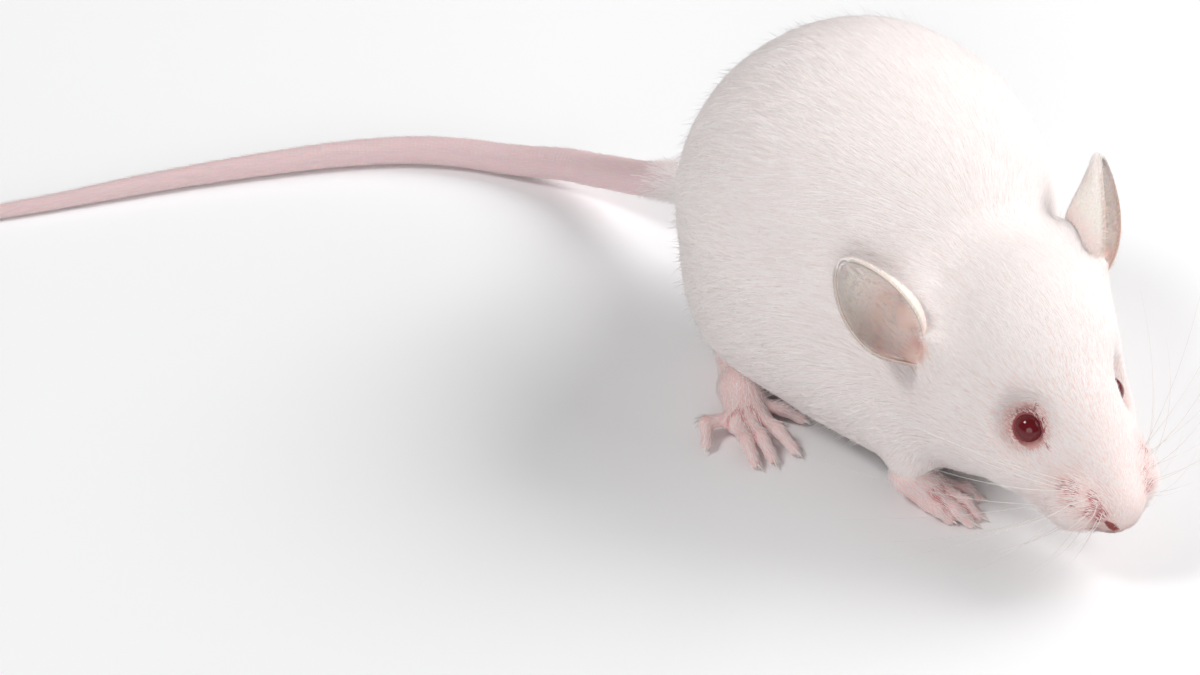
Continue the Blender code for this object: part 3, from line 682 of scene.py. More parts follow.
def make_tail_skin():
    """A tapering tube in low overlapping rings; it starts inside the rump."""
    places, radii, run = tail_line()
    length = run[-1]
    bm = bmesh.new()
    rings = []
    at, phase = -3.0, 0
    while at < length:
        here = max(at, 0.0)
        place, along, across, up = tail_frame(places, run, here)
        place = place + along * (at - here)
        radius = np.interp(here, run, radii)
        lip = (0.0, 0.75, 1.0)[phase % 3]
        radius_here = radius * (1 - RING_RELIEF * (1 - lip))
        ring = []
        for side in range(TAIL_SIDES):
            angle = 2 * math.pi * side / TAIL_SIDES
            point = place + (across * math.cos(angle) + up * math.sin(angle)) * radius_here
            point[2] = max(point[2], 0.0)
            ring.append(bm.verts.new(point))
        rings.append(ring)
        at += RING_PITCH / 3 * (0.55 + 0.45 * radius / TAIL_RADIUS)
        phase += 1
    for before, after in zip(rings, rings[1:]):
        for side in range(TAIL_SIDES):
            other = (side + 1) % TAIL_SIDES
            bm.faces.new((before[side], before[other], after[other], after[side]))
    bm.faces.new(rings[0])
    place, along, _, _ = tail_frame(places, run, length)
    tip = bm.verts.new(place + along * 0.35)
    for side in range(TAIL_SIDES):
        bm.faces.new((rings[-1][side], rings[-1][(side + 1) % TAIL_SIDES], tip))
    close_outward(bm)
    return new_object("tail_skin", mesh_from(bm, "tail_skin"))


def unite(body, part):
    join = body.modifiers.new("join", "BOOLEAN")
    join.operation = "UNION"
    join.solver = "MANIFOLD"
    join.object = part
    evaluated(body)
    drop(part)


def make_skin():
    body = make_trunk_skin()
    for foot in FEET:
        unite(body, make_foot_skin(*foot))
    unite(body, make_tail_skin())
    for name, side in (("ear_left_skin", 1), ("ear_right_skin", -1)):
        unite(body, make_ear_skin(name, side))
    return body


# ---------------------------------------------------------------------------
# The lie of the coat
# ---------------------------------------------------------------------------
HEAD_LIE = (                 # place and direction on the head's axes, left side
    ((0.0, -12.0, -3.0), (0.0, 0.7, 0.9)),
    ((0.0, -6.0, 1.0), (0.0, 1.0, 0.1)),
    ((4.6, -7.8, -1.6), (0.75, 0.6, -0.3)),
    ((5.2, -7.8, -3.8), (0.8, 0.35, -0.5)),
    ((3.0, -9.0, -7.0), (0.3, 0.9, -0.6)),
    ((0.0, 1.0, 4.8), (0.0, 1.0, 0.0)),
    ((4.5, -3.5, 0.0), (0.35, 1.0, 0.25)),
    ((4.0, 1.5, 3.5), (0.1, 1.0, 0.05)),
    ((7.6, 1.0, -4.0), (0.2, 0.9, -0.35)),
    ((7.5, 5.0, 0.5), (0.3, 1.0, 0.0)),
    ((11.5, 13.5, 0.5), (0.65, 0.45, 0.6)),
    ((12.5, 15.5, -2.5), (0.65, 0.5, 0.35)),
    ((0.0, 10.0, 6.8), (0.0, 1.0, -0.1)),
    ((0.0, 0.0, -11.0), (0.0, 1.0, -0.1)),
)
BODY_LIE = (                 # place and direction on the working axes, left side
    ((3.0, -52.0, 26.0), (0.12, 0.95, 0.35)),
    ((8.0, -46.0, 24.0), (0.45, 0.9, -0.15)),
    ((12.0, -46.0, 12.0), (0.1, 0.9, -0.5)),
    ((3.0, -36.0, 36.5), (0.12, 1.0, 0.05)),
    ((13.0, -36.0, 31.0), (0.38, 0.92, -0.2)),
    ((20.5, -33.0, 16.0), (0.0, 0.85, -0.52)),
    ((3.0, -20.0, 38.0), (0.08, 1.0, -0.3)),
    ((12.0, -18.0, 30.0), (0.25, 0.9, -0.45)),
    ((19.0, -22.0, 14.0), (0.0, 0.75, -0.65)),
    ((6.0, -11.0, 18.0), (-0.05, 0.7, -0.75)),
    ((0.0, -6.0, 12.0), (0.0, 1.0, -0.3)),
    ((0.0, -30.0, 2.0), (0.0, 1.0, 0.0)),
    ((0.0, -52.0, 3.0), (0.0, 1.0, -0.3)),
    ((9.0, -50.0, 5.0), (0.1, -0.2, -1.0)),
)


def lie_stations():
    places, ways = [], []
    for side in (1, -1):
        for place, way in HEAD_LIE:
            places.append(on_head((side * place[0], *place[1:])))
            ways.append(HEAD_AXES @ np.array((side * way[0], *way[1:])))
        for place, way in BODY_LIE:
            places.append(np.array((side * place[0], *place[1:])))
            ways.append(np.array((side * way[0], *way[1:])))
    ways = np.array(ways)
    return np.array(places), ways / np.linalg.norm(ways, axis=1)[:, None]


LIE_PLACES, LIE_WAYS = lie_stations()


def lie(points, normals):
    """The way the hair points, in the plane of the skin."""
    way = np.zeros_like(points)
    for place, station in zip(LIE_PLACES, LIE_WAYS):
        weight = 1.0 / (((points - place) ** 2).sum(axis=1) + 4.0) ** 2
        way += weight[:, None] * station
    way -= normals * (way * normals).sum(axis=1)[:, None]
    return way / (np.linalg.norm(way, axis=1)[:, None] + 1e-9)


def swirl(points):
    """A slow wandering of the lie, in radians."""
    x, y, z = points.T
    return (0.10 * np.sin(0.55 * x + 0.31 * y + 0.4 * z)
            + 0.08 * np.sin(1.1 * y - 0.7 * z + 0.9 * x)
            + 0.06 * np.sin(2.3 * z + 1.9 * x - 0.8 * y))


def turn_about(ways, normals, angles):
    return (ways * np.cos(angles)[:, None] + np.cross(normals, ways) * np.sin(angles)[:, None])


# ---------------------------------------------------------------------------
# The coat's tufts.  A mouse's hair is about 0.02 mm thick, too fine to show, so
# each tuft stands for a few hairs that lie together.
# ---------------------------------------------------------------------------
TUFT_CAP = 19900             # tufts in one piece, at ten triangles each
TUFT_PATCH = 0.003           # of the coat's own map
TUFT_FLATNESS = 0.34         # thickness over width
MID_HEIGHTS = (0.30, 0.95)   # of a tuft's middle, over the coat's depth
SIDES = 3
ODD_TONE = 0.45              # how much pinker the pinkest tufts are than their neighbours
GOLDEN_SHARE = 0.61803398875
TUFT_ROOT = 0.12             # how far a root is sunk in the skin
TUFT_SWAY = 0.13             # spread of the lie from tuft to tuft, in radians
STRAY_RISE, STRAY_WIDTH = (0.2, 1.7), 0.45    # over the coat; against its neighbours
PAD_REACH, PAD_RISE = 0.9, 0.6                # the whisker pads' shaggier hair
LID_REACH, LID_CLEARANCE = 5.0, 0.02          # no tuft this near an eye crosses its opening
FURRED_REACH = 0.5           # skin this near the coat's level grows fur
COAT_END = -4.0              # where the coat gives way to the tail's short hair
PIT_HAIR_SHARE = 0.25        # of the tufts stay between the whisker roots
Growth = namedtuple("Growth", "back density length width")
GROWTH = (                   # how far behind the eyes; tufts per square millimetre; millimetres
    Growth(-12.0, 58.0, 0.70, 0.065),
    Growth(-6.0, 50.0, 1.00, 0.075),
    Growth(0.0, 34.0, 1.60, 0.102),
    Growth(6.0, 25.0, 2.40, 0.130),
    Growth(13.0, 20.0, 3.40, 0.140),
    Growth(24.0, 15.0, 4.60, 0.170),
    Growth(40.0, 14.0, 5.20, 0.180),
)
BELLY_DENSITY = 6.0
PAD_HALO = 2.6               # how far the shaggier hair of the whisker pad reaches


def growth(points, part):
    """Density, length or width of the tufts at these places."""
    back = off_head(points)[:, 1]
    return np.interp(back, [row.back for row in GROWTH], [getattr(row, part) for row in GROWTH])


def padness(points):
    """1 on the whisker pads, 0 away from them."""
    return 1.0 - smooth_step(from_follicles(points), 0.6, PAD_HALO)


def from_grooves(points):
    """Distance to the nearest nostril, tear line, brow line or crease of the mouth."""
    local = off_head(points)
    local[:, 0] = np.abs(local[:, 0])
    nearest = np.full(len(points), 99.0)
    for shaded_groove in NOSTRIL + MOUTH + (TEAR_LINE, BROW_LINE, PHILTRUM):
        nearest = np.minimum(nearest, limb_distance(local, shaded_groove))
    return nearest


def triangles_of(mesh):
    mesh.calc_loop_triangles()
    corners = np.empty(len(mesh.loop_triangles) * 3, np.int32)
    mesh.loop_triangles.foreach_get("vertices", corners)
    return corners.reshape(-1, 3)


def scatter(points, triangles, density, dice):
    """Seeded places spread over the triangles; density is for each triangle."""
    a, b, c = (points[triangles[:, corner]] for corner in range(3))
    cross = np.cross(b - a, c - a)
    area = np.linalg.norm(cross, axis=1) / 2
    wanted = np.cumsum(area * density)
    count = int(wanted[-1])
    if count == 0:
        return np.zeros((0, 3)), np.zeros((0, 3))
    targets = (np.arange(count) + dice.random(count)) * (wanted[-1] / count)
    index = np.minimum(np.searchsorted(wanted, targets), len(wanted) - 1)
    u, v = dice.random(count), dice.random(count)
    flip = u + v > 1.0
    u, v = np.where(flip, 1 - u, u), np.where(flip, 1 - v, v)
    places = a[index] + (b - a)[index] * u[:, None] + (c - a)[index] * v[:, None]
    normals = cross[index] / (2 * area[index][:, None] + 1e-12)
    return places, normals


REGIONS = ("muzzle", "face", "crown", "neck", "shoulders", "back", "rump", "belly")


def region_names(points):
    """The coat's region at each place of the skin."""
    back = off_head(points)[:, 1]
    y, z = points[:, 1], points[:, 2]
    names = np.full(len(points), "back", dtype="<U10")
    names[y > -24.0] = "rump"
    names[y < -40.0] = "shoulders"
    names[(back < 19.0) & (y < -44.0)] = "neck"
    names[back < 12.5] = "crown"
    names[back < 4.5] = "face"
    names[back < -4.5] = "muzzle"
    names[(z < 4.5) & (back > 12.5)] = "belly"
    return names


def spikes(roots, mids, tips, across, width, thickness):
    """Closed three-sided blades: a root ring, a middle ring and a tip."""
    count = len(roots)
    verts = np.empty((count, 2 * SIDES + 1, 3))
    for ring, (centre, after, before, share) in enumerate(
            ((roots, mids, roots, 0.62), (mids, tips, roots, 1.0))):
        run = after - before
        run /= np.linalg.norm(run, axis=1)[:, None] + 1e-9
        side = across - run * (across * run).sum(axis=1)[:, None]
        side /= np.linalg.norm(side, axis=1)[:, None] + 1e-9
        rise = np.cross(run, side)
        for corner in range(SIDES):
            angle = 2 * math.pi * corner / SIDES + math.pi / 2
            verts[:, ring * SIDES + corner] = (
                centre + side * (math.cos(angle) * width * share / 2)[:, None]
                + rise * (math.sin(angle) * thickness * share / 2)[:, None])
    verts[:, 2 * SIDES] = tips
    return verts


SPIKE_FACES = (
    (0, 2, 1), (0, 1, 4), (0, 4, 3), (1, 2, 5), (1, 5, 4), (2, 0, 3), (2, 3, 5),
    (3, 4, 6), (4, 5, 6), (5, 3, 6))


def spike_map():
    """Where each corner of a tuft lies in its patch; the root's cap lies beside the rest."""
    places = []
    for reach in (0.40, 0.22):
        for corner in range(SIDES):
            angle = 2 * math.pi * corner / SIDES + math.pi / 2
            places.append((0.42 + reach * math.cos(angle), 0.45 + reach * math.sin(angle)))
    places.append((0.42, 0.45))
    cap = ((0.86, 0.72), (0.98, 0.95), (0.80, 0.95))
    corners = []
    for face in SPIKE_FACES:
        corners.extend(cap if face == SPIKE_FACES[0] else [places[corner] for corner in face])
    return np.array(corners)


SPIKE_MAP = spike_map()


def mesh_of_spikes(name, verts, spots, pink):
    """One mesh of all the tufts, with the coat's map and the share along each tuft."""
    count = len(verts)
    per = 2 * SIDES + 1
    faces = (np.array(SPIKE_FACES)[None] + (np.arange(count) * per)[:, None, None]).reshape(-1, 3)
    mesh = bpy.data.meshes.new(name)
    mesh.vertices.add(count * per)
    mesh.vertices.foreach_set("co", to_row(verts.reshape(-1, 3)).ravel())
    mesh.loops.add(len(faces) * 3)
    mesh.loops.foreach_set("vertex_index", faces.astype(np.int32).ravel())
    mesh.polygons.add(len(faces))
    mesh.polygons.foreach_set("loop_start", np.arange(len(faces), dtype=np.int32) * 3)
    mesh.polygons.foreach_set("use_smooth", np.ones(len(faces), bool))
    mesh.update(calc_edges=True)
    layer = mesh.uv_layers.new(name="OFBake")
    corner_spots = spots[:, None, :] * (1 - 2 * TUFT_PATCH) + SPIKE_MAP[None] * TUFT_PATCH
    layer.data.foreach_set("uv", np.clip(corner_spots, 0.0, 1.0).ravel())
    along = mesh.attributes.new("along", "FLOAT", "POINT")
    along.data.foreach_set("value", np.tile((0.0,) * SIDES + (0.5,) * SIDES + (1.0,), count))
    tone = mesh.attributes.new("pink", "FLOAT", "POINT")
    tone.data.foreach_set("value", np.repeat(pink, per))
    mesh.validate()
    return mesh


NORMAL_EASE = 0.52           # share of the body's own slope in the shading of a tuft


def soften(mesh, outward):
    """Shade tufts nearly as the body under them, as thin hairs let light through."""
    own = np.empty(len(mesh.vertices) * 3)
    mesh.vertices.foreach_get("normal", own)
    own = own.reshape(len(outward), -1, 3)
    eased = own * (1 - NORMAL_EASE) + outward[:, None, :] * NORMAL_EASE
    eased /= np.linalg.norm(eased, axis=2)[:, :, None] + 1e-9
    mesh.normals_split_custom_set_from_vertices(eased.reshape(-1, 3).tolist())


def spread(values):
    """Evenly spread shares, in the order of the values."""
    order = np.empty(len(values))
    order[np.argsort(values, kind="stable")] = (np.arange(len(values)) + 0.5) / len(values)
    return order


def coat_spots(points, middle, way):
    """Places on an unwrap: the run along a line and the turn round it."""
    way = np.array(way) / np.linalg.norm(way)
    offset = points - np.array(middle)
    side = np.cross(way, (0.0, 0.0, 1.0))
    side /= np.linalg.norm(side)
    up = np.cross(side, way)
    turn = np.arctan2(offset @ side, offset @ up)
    return np.stack((spread(offset @ way), spread(turn)), axis=1)


def pinkness(points):
    """Where the coat is thin and the skin glows through: muzzle, lids, chin and feet."""
    local = off_head(points)
    local[:, 0] = np.abs(local[:, 0])
    eye = np.linalg.norm(local - np.array(EYE_CENTRE), axis=1)
    nose = np.linalg.norm(local - np.array((0.0, -11.8, -4.8)), axis=1)
    pad = np.linalg.norm(local - np.array((3.2, -9.0, -6.0)), axis=1)
    low = smooth_step(-points[:, 2], -6.0, -2.0)
    return np.clip(1.0 - smooth_step(eye, 2.0, 3.4) + 1.0 - smooth_step(nose, 1.0, 3.4)
                   + 0.7 * (1.0 - smooth_step(pad, 1.5, 4.0)) + 0.55 * padness(points)
                   + 0.35 * low, 0.0, 1.0)


def coat_level(points):
    """Height over the skin that lies under the coat; lids and grooves aren't in it."""
    return coat_distance(points) + coat_depth(points)


def in_ear_cup(points):
    """1 inside the hollow of either ear, 0 outside."""
    local = off_head(points)
    local[:, 0] = np.abs(local[:, 0])
    return 1.0 - smooth_step(limb_distance(local, EAR_CUP), 0.0, 0.5)


def from_ears(points):
    """Distance to the foot of the nearest ear."""
    local = off_head(points)
    local[:, 0] = np.abs(local[:, 0])
    return np.linalg.norm(local - np.array(EAR_FOOT), axis=1)


def body_tufts(name, places, normals, dice, sizes):
    """Tufts for one region of the body, from their roots on the skin."""
    length = growth(places, "length") * sizes.tuft_length
    width = growth(places, "width") * sizes.tuft_width
    if name in ("muzzle", "face"):
        field = skin_distance
    else:
        field = coat_level
    count = len(places)
    depth = coat_depth(places)
    ways = lie(places, normals)
    ways = turn_about(ways, normals, swirl(places) + dice.normal(0.0, TUFT_SWAY, count))
    reach = length * dice.uniform(0.7, 1.15, count)
    stray = dice.random(count) < sizes.stray_share
    eye = off_head(places)
    eye[:, 0] = np.abs(eye[:, 0])
    eye = np.linalg.norm(eye - np.array(EYE_CENTRE), axis=1)
    reach *= 0.4 + 0.6 * smooth_step(eye, 1.8, 6.0)
    pad = padness(places)
    reach *= 1.0 + PAD_REACH * pad
    reach *= 0.4 + 0.6 * smooth_step(from_ears(places), 3.0, 8.0)
    mids = places + ways * (reach * 0.5)[:, None]
    mid_height = depth * dice.uniform(*MID_HEIGHTS, count)
    mids = settled(mids, lambda p: field(p) - mid_height, rounds=1)
    slope = slope_of(mids, field)
    slope /= np.linalg.norm(slope, axis=1)[:, None] + 1e-9
    onward = ways - slope * (ways * slope).sum(axis=1)[:, None]
    onward /= np.linalg.norm(onward, axis=1)[:, None] + 1e-9
    height = mid_height + depth * dice.uniform(-0.1, 1.9, count) * dice.random(count)
    height += 0.10 * dice.random(count) ** 2
    raised = depth + dice.uniform(*STRAY_RISE, count) * smooth_step(depth, 0.05, 0.2)
    height = np.where(stray, raised, height)
    height += PAD_RISE * pad * dice.random(count)
    tips = mids + onward * (reach * 0.5)[:, None]
    tips = settled(tips, lambda p: field(p) - height, rounds=1)
    width = width * dice.uniform(0.75, 1.25, count) * np.where(stray, STRAY_WIDTH, 1.0)
    roots = places - normals * TUFT_ROOT
    keep = np.minimum(mids[:, 2], tips[:, 2]) > 0.1
    keep &= in_ear_cup(places) < 0.5
    if name in ("muzzle", "face"):
        pit = FOLLICLE_PIT * dice.uniform(0.5, 1.3, count)
        keep &= (from_follicles(places) > pit) | (dice.random(count) < PIT_HAIR_SHARE)
        keep &= from_grooves(places) > 0.10
        keep &= from_grooves(tips) > 0.0
    near = near_eyes(mids, LID_REACH)
    for group in (places, mids, tips):
        for side in (1, -1):
            _, opening = lid_parts(group, side)
            keep &= ~(near & (opening < LID_CLEARANCE))
    return (roots[keep], mids[keep], tips[keep], np.cross(normals, ways)[keep], width[keep],
            slope[keep])


def odd_share(numbers):
    """An even share from 0 to 1 for each number, in no visible order."""
    return (numbers * GOLDEN_SHARE) % 1.0


def lay_region(pieces, name, tufts, spots_way):
    """Cut one region into pieces below the cap, from side to side; a region in one piece is ordered
    from front to back.
    """
    roots, mids, tips, across, width, outward = tufts
    parts = -(-len(roots) // TUFT_CAP)
    order = np.argsort(roots[:, 0] if parts > 1 else roots[:, 1], kind="stable")
    for number, chosen in enumerate(np.array_split(order, parts)):
        verts = spikes(roots[chosen], mids[chosen], tips[chosen], across[chosen],
                       width[chosen], width[chosen] * TUFT_FLATNESS)
        spots = coat_spots(roots[chosen], *spots_way)
        title = "coat_" + name + ("_" + "abcdefgh"[number] if parts > 1 else "")
        tone = pinkness(roots[chosen]) + ODD_TONE * odd_share(chosen) ** 2
        mesh = mesh_of_spikes(title, verts, spots, np.minimum(tone, 1.0))
        soften(mesh, outward[chosen])
        pieces.append(new_object(title, mesh))


HEAD_LINE = (tuple(on_head((0.0, 0.0, -3.0))), tuple(HEAD_AXES @ np.array((0.0, 1.0, 0.0))))
BODY_LINE = ((0.0, -35.0, 18.0), (0.0, 1.0, 0.0))


def make_body_coat(skin_points, skin_triangles, sizes):
    """The coat of head, trunk and legs."""
    dice = np.random.default_rng(11)
    middles = skin_points[skin_triangles].mean(axis=1)
    names = region_names(middles)
    furred = np.abs(coat_level(middles)) < FURRED_REACH
    furred |= (names == "muzzle") | near_eyes(middles, 3.0)
    furred &= middles[:, 1] < COAT_END
    pieces = []
    for name in REGIONS:
        mine = (names == name) & furred
        density = BELLY_DENSITY if name == "belly" else growth(middles[mine], "density")
        places, normals = scatter(skin_points, skin_triangles[mine], density, dice)
        head = name in ("muzzle", "face", "crown")
        lay_region(pieces, name, body_tufts(name, places, normals, dice, sizes),
                   HEAD_LINE if head else BODY_LINE)
    return pieces


# ---------------------------------------------------------------------------
# Down on the ears and hair on the feet
# ---------------------------------------------------------------------------
EAR_DOWN = 6500              # tufts on one ear
EAR_DOWN_LENGTH, EAR_DOWN_WIDTH = 0.75, 0.055
FOOT_HAIR = 22.0             # tufts per square millimetre
FOOT_HAIR_LENGTH, SHORT_HAIR_WIDTH = 1.15, 0.05
TAIL_HAIR = 60.0
TAIL_COAT = (-5.0, 5.0)      # from where the hair thins to where it ends


def make_ear_coat(name, side):
    """Fine down on both faces of an ear, longer at its foot."""
    dice = np.random.default_rng(23 + side)
    roots, mids, tips, across, width, spots = [], [], [], [], [], []
    for _ in range(EAR_DOWN):
        along = 0.02 + 0.94 * dice.random() ** 0.85
        turn = dice.uniform(-0.93, 0.93)
        face = 1.0 if dice.random() < 0.5 else -1.0
        foot = 1.0 - min(along / 0.25, 1.0)
        reach = EAR_DOWN_LENGTH * dice.uniform(0.6, 1.2) * (1.0 + 1.1 * foot)
        step = reach / EAR_LENGTH
        sway = dice.normal(0.0, 0.05) + 0.10 * turn
        lift = EAR_WALL / 2 - 0.05
        points = []
        for share, rise in ((0.0, 0.0), (0.5, 0.10), (1.0, 0.16 + 0.10 * dice.random())):
            at = ear_point(min(along + step * share, 1.0), turn + sway * share,
                           face * (lift + rise * (1.0 + foot)))
            points.append(on_head((side * at[0], at[1], at[2])))
        beside = ear_point(along, turn + 0.02, face * lift)
        beside = on_head((side * beside[0], beside[1], beside[2])) - points[0]
        roots.append(points[0])
        mids.append(points[1])
        tips.append(points[2])
        across.append(beside)
        width.append(EAR_DOWN_WIDTH * dice.uniform(0.7, 1.3))
        spots.append((turn * 0.25 + (0.25 if face > 0 else 0.75), along))
    width = np.array(width)
    verts = spikes(np.array(roots), np.array(mids), np.array(tips), np.array(across),
                   width, width * 0.6)
    mesh = mesh_of_spikes(name, verts, np.array(spots), np.full(len(width), 0.1))
    return new_object(name, mesh)


def short_hair(name, places, normals, way, length, spots_way, pink, dice):
    """One piece of short hairs that lie along a bare part."""
    count = len(places)
    way = way - normals * (way * normals).sum(axis=1)[:, None]
    way /= np.linalg.norm(way, axis=1)[:, None] + 1e-9
    way = turn_about(way, normals, dice.normal(0.0, 0.20, count))
    reach = length * dice.uniform(0.6, 1.2, count)
    mids = places + way * (reach * 0.5)[:, None] + normals * 0.10
    tips = places + way * reach[:, None] + normals * dice.uniform(0.08, 0.28, count)[:, None]
    width = SHORT_HAIR_WIDTH * dice.uniform(0.7, 1.3, count)
    keep = np.minimum(mids[:, 2], tips[:, 2]) > 0.08
    verts = spikes((places - normals * 0.05)[keep], mids[keep], tips[keep],
                   np.cross(normals, way)[keep], width[keep], width[keep] * 0.6)
    mesh = mesh_of_spikes(name, verts, coat_spots(places[keep], *spots_way),
                          np.full(keep.sum(), pink))
    soften(mesh, normals[keep])
    return new_object(name, mesh)


def make_foot_coat(name, sole, digits, radii, place):
    """Short white hairs down the back of the foot and along the toes."""
    dice = np.random.default_rng(37)
    forms = foot_forms(sole, digits, radii, place)
    foot = make_foot_skin(name + "_under", sole, digits, radii, place)
    points, triangles = points_of(foot.data), triangles_of(foot.data)
    drop(foot)
    middles = points[triangles].mean(axis=1)
    corner = points[triangles]
    normal = np.cross(corner[:, 1] - corner[:, 0], corner[:, 2] - corner[:, 0])
    upward = normal[:, 2] / (np.linalg.norm(normal, axis=1) + 1e-12)
    bare = (upward < -0.15) | (middles[:, 2] < 0.3)
    places, normals = scatter(points, triangles[~bare], FOOT_HAIR, dice)
    way = np.zeros_like(places)
    for limb in forms:
        axis = np.array(limb.end) - np.array(limb.start)
        away = np.maximum(limb_distance(places, limb), 0.0)
        way += (1.0 / (away + 0.15) ** 2)[:, None] * axis / np.linalg.norm(axis)
    heel, toe = np.array(forms[0].start), np.array(forms[-1].end)
    return short_hair(name, places, normals, way, FOOT_HAIR_LENGTH, (heel, toe - heel), 0.2, dice)


def make_tail_coat(name):
    """The coat thins out over the root of the tail."""
    dice = np.random.default_rng(41)
    tail = make_tail_skin()
    points, triangles = points_of(tail.data), triangles_of(tail.data)
    drop(tail)
    middles = points[triangles].mean(axis=1)
    start, reach = TAIL_COAT
    density = TAIL_HAIR * (1.0 - smooth_step(middles[:, 1], start, reach))
    density[middles[:, 1] < start - 3.0] = 0.0
    places, normals = scatter(points, triangles, density, dice)
    line, _, _ = tail_line()
    way = np.gradient(line, axis=0)[np.argmin(
        ((places[:, None, :] - line[None]) ** 2).sum(axis=2), axis=1)]
    length = np.interp(places[:, 1], TAIL_COAT, (2.6, 1.2))
    return short_hair(name, places, normals, way, length, ((0.0, 0.0, 4.0), (0.0, 1.0, 0.0)),
                      0.0, dice)


# ---------------------------------------------------------------------------
# Eyes and claws
# ---------------------------------------------------------------------------
def make_eye(name, side):
    bm = bmesh.new()
    bmesh.ops.create_uvsphere(bm, u_segments=64, v_segments=40, radius=EYE_RADIUS)
    centre = on_head((side * EYE_CENTRE[0], *EYE_CENTRE[1:]))
    for vert in bm.verts:
        vert.co = to_row(centre + np.array(vert.co))
    for face in bm.faces:
        face.smooth = True
    return new_object(name, mesh_from(bm, name))


CLAW_RINGS, CLAW_SIDES = 7, 12


def add_claw(bm, root, tip):
    """A curved, tapering horn from inside the toe to its point."""
    root, tip = np.array(root, float), np.array(tip, float)
    run = tip - root
    start = root - run * 0.35
    crown = (start + tip) / 2 + np.array((0.0, 0.0, 0.30))
    rings = []
    for ring in range(CLAW_RINGS):
        share = ring / CLAW_RINGS
        place = ((1 - share) ** 2 * start + 2 * share * (1 - share) * crown + share * share * tip)
        along = 2 * (1 - share) * (crown - start) + 2 * share * (tip - crown)
        along /= np.linalg.norm(along)
        side = np.cross(along, (0.0, 0.0, 1.0))
        side /= np.linalg.norm(side)
        up = np.cross(side, along)
        radius = CLAW_RADII[0] * 0.80 * (1 - share) ** 0.7
        ring_verts = []
        for corner in range(CLAW_SIDES):
            angle = 2 * math.pi * corner / CLAW_SIDES
            point = place + radius * (side * math.cos(angle) * 0.75 + up * math.sin(angle))
            point[2] = max(point[2], 0.02)
            ring_verts.append(bm.verts.new(to_row(point)))
        rings.append(ring_verts)
    for before, after in zip(rings, rings[1:]):
        for corner in range(CLAW_SIDES):
            other = (corner + 1) % CLAW_SIDES
            bm.faces.new((before[corner], before[other], after[other], after[corner]))
    bm.faces.new(rings[0])
    tip[2] = max(tip[2] - 0.1, 0.02)
    point = bm.verts.new(to_row(tip))
    for corner in range(CLAW_SIDES):
        bm.faces.new((rings[-1][corner], rings[-1][(corner + 1) % CLAW_SIDES], point))


def make_claws(name, digits, place):
    bm = bmesh.new()
    for digit in digits:
        limb = place(Limb(digit[2], digit[3], 0.3, 0.2, 0.0))
        add_claw(bm, limb.start, limb.end)
    close_outward(bm)
    for face in bm.faces:
        face.smooth = True
    return new_object(name, mesh_from(bm, name))


# ---------------------------------------------------------------------------
# Materials
# ---------------------------------------------------------------------------
def colour(text):
    """Linear colour of an sRGB hex text."""
    shares = [int(text[index:index + 2], 16) / 255 for index in (1, 3, 5)]
    linear = [c / 12.92 if c <= 0.04045 else ((c + 0.055) / 1.055) ** 2.4 for c in shares]
    return (*linear, 1.0)


def add_node(tree, kind, settings=None, **inputs):
    node = tree.nodes.new(kind)
    for name, value in (settings or {}).items():
        setattr(node, name, value)
    for name, value in inputs.items():
        socket = node.inputs[name.replace("_", " ")]
        if isinstance(value, bpy.types.NodeSocket):
            tree.links.new(value, socket)
        else:
            socket.default_value = value
    return node


def new_material(name):
    material = bpy.data.materials.new(name)
    material.use_nodes = True
    tree = material.node_tree
    tree.nodes.clear()
    shader = add_node(tree, "ShaderNodeBsdfPrincipled")
    output = add_node(tree, "ShaderNodeOutputMaterial")
    tree.links.new(shader.outputs["BSDF"], output.inputs["Surface"])
    return material, tree, shader


def blend(tree, share, first, second):
    """Mix of two colours by a socket."""
    node = add_node(tree, "ShaderNodeMix", {"data_type": "RGBA"})
    tree.links.new(share, node.inputs["Factor"])
    for socket, value in ((node.inputs[6], first), (node.inputs[7], second)):
        if isinstance(value, bpy.types.NodeSocket):
            tree.links.new(value, socket)
        else:
            socket.default_value = value
    return node.outputs[2]


def fur_material(tints):
    """White guard hair: clean and dense, a little pink where the coat is thin, its roots painted
    darker as shade deep in the coat.
    """
    material, tree, shader = new_material("White guard hair")
    along = add_node(tree, "ShaderNodeAttribute", {"attribute_name": "along"})
    pink = add_node(tree, "ShaderNodeAttribute", {"attribute_name": "pink"})
    # painted shade: the roots are darker than the tips, standing in for the shade deep in the coat,
    # as the tufts cast no shadow on each other; the roots' extra pink is the skin showing through
    root = blend(tree, pink.outputs["Fac"], tints.shaded_hair_root[:], tints.shaded_thin_hair_root[:])
    tip = blend(tree, pink.outputs["Fac"], tints.hair_tip[:], tints.thin_hair_tip[:])
    tree.links.new(blend(tree, along.outputs["Fac"], root, tip), shader.inputs["Base Color"])
    shader.inputs["Roughness"].default_value = 0.55
    shader.inputs["Specular IOR Level"].default_value = 0.2
    return material


def skin_material():
    """Thin, soft skin: light sinks in a little, so its folds stay pale."""
    material, tree, shader = new_material("Thin pink skin")
    tone = add_node(tree, "ShaderNodeVertexColor", {"layer_name": "tone"})
    tree.links.new(tone.outputs["Color"], shader.inputs["Base Color"])
    shader.inputs["Roughness"].default_value = 0.5
    shader.inputs["Subsurface Weight"].default_value = 0.25
    shader.inputs["Subsurface Scale"].default_value = 0.0012
    return material


def eye_material(tints):
    """A wet albino eye: dark red under a clear, smooth cornea."""
    material, _, shader = new_material("Wet red eye")
    shader.inputs["Base Color"].default_value = tints.eye[:]
    shader.inputs["Roughness"].default_value = 0.12
    shader.inputs["Specular IOR Level"].default_value = 0.1
    shader.inputs["Coat Weight"].default_value = 1.0
    shader.inputs["Coat Roughness"].default_value = 0.02
    shader.inputs["Coat IOR"].default_value = 1.38
    return material


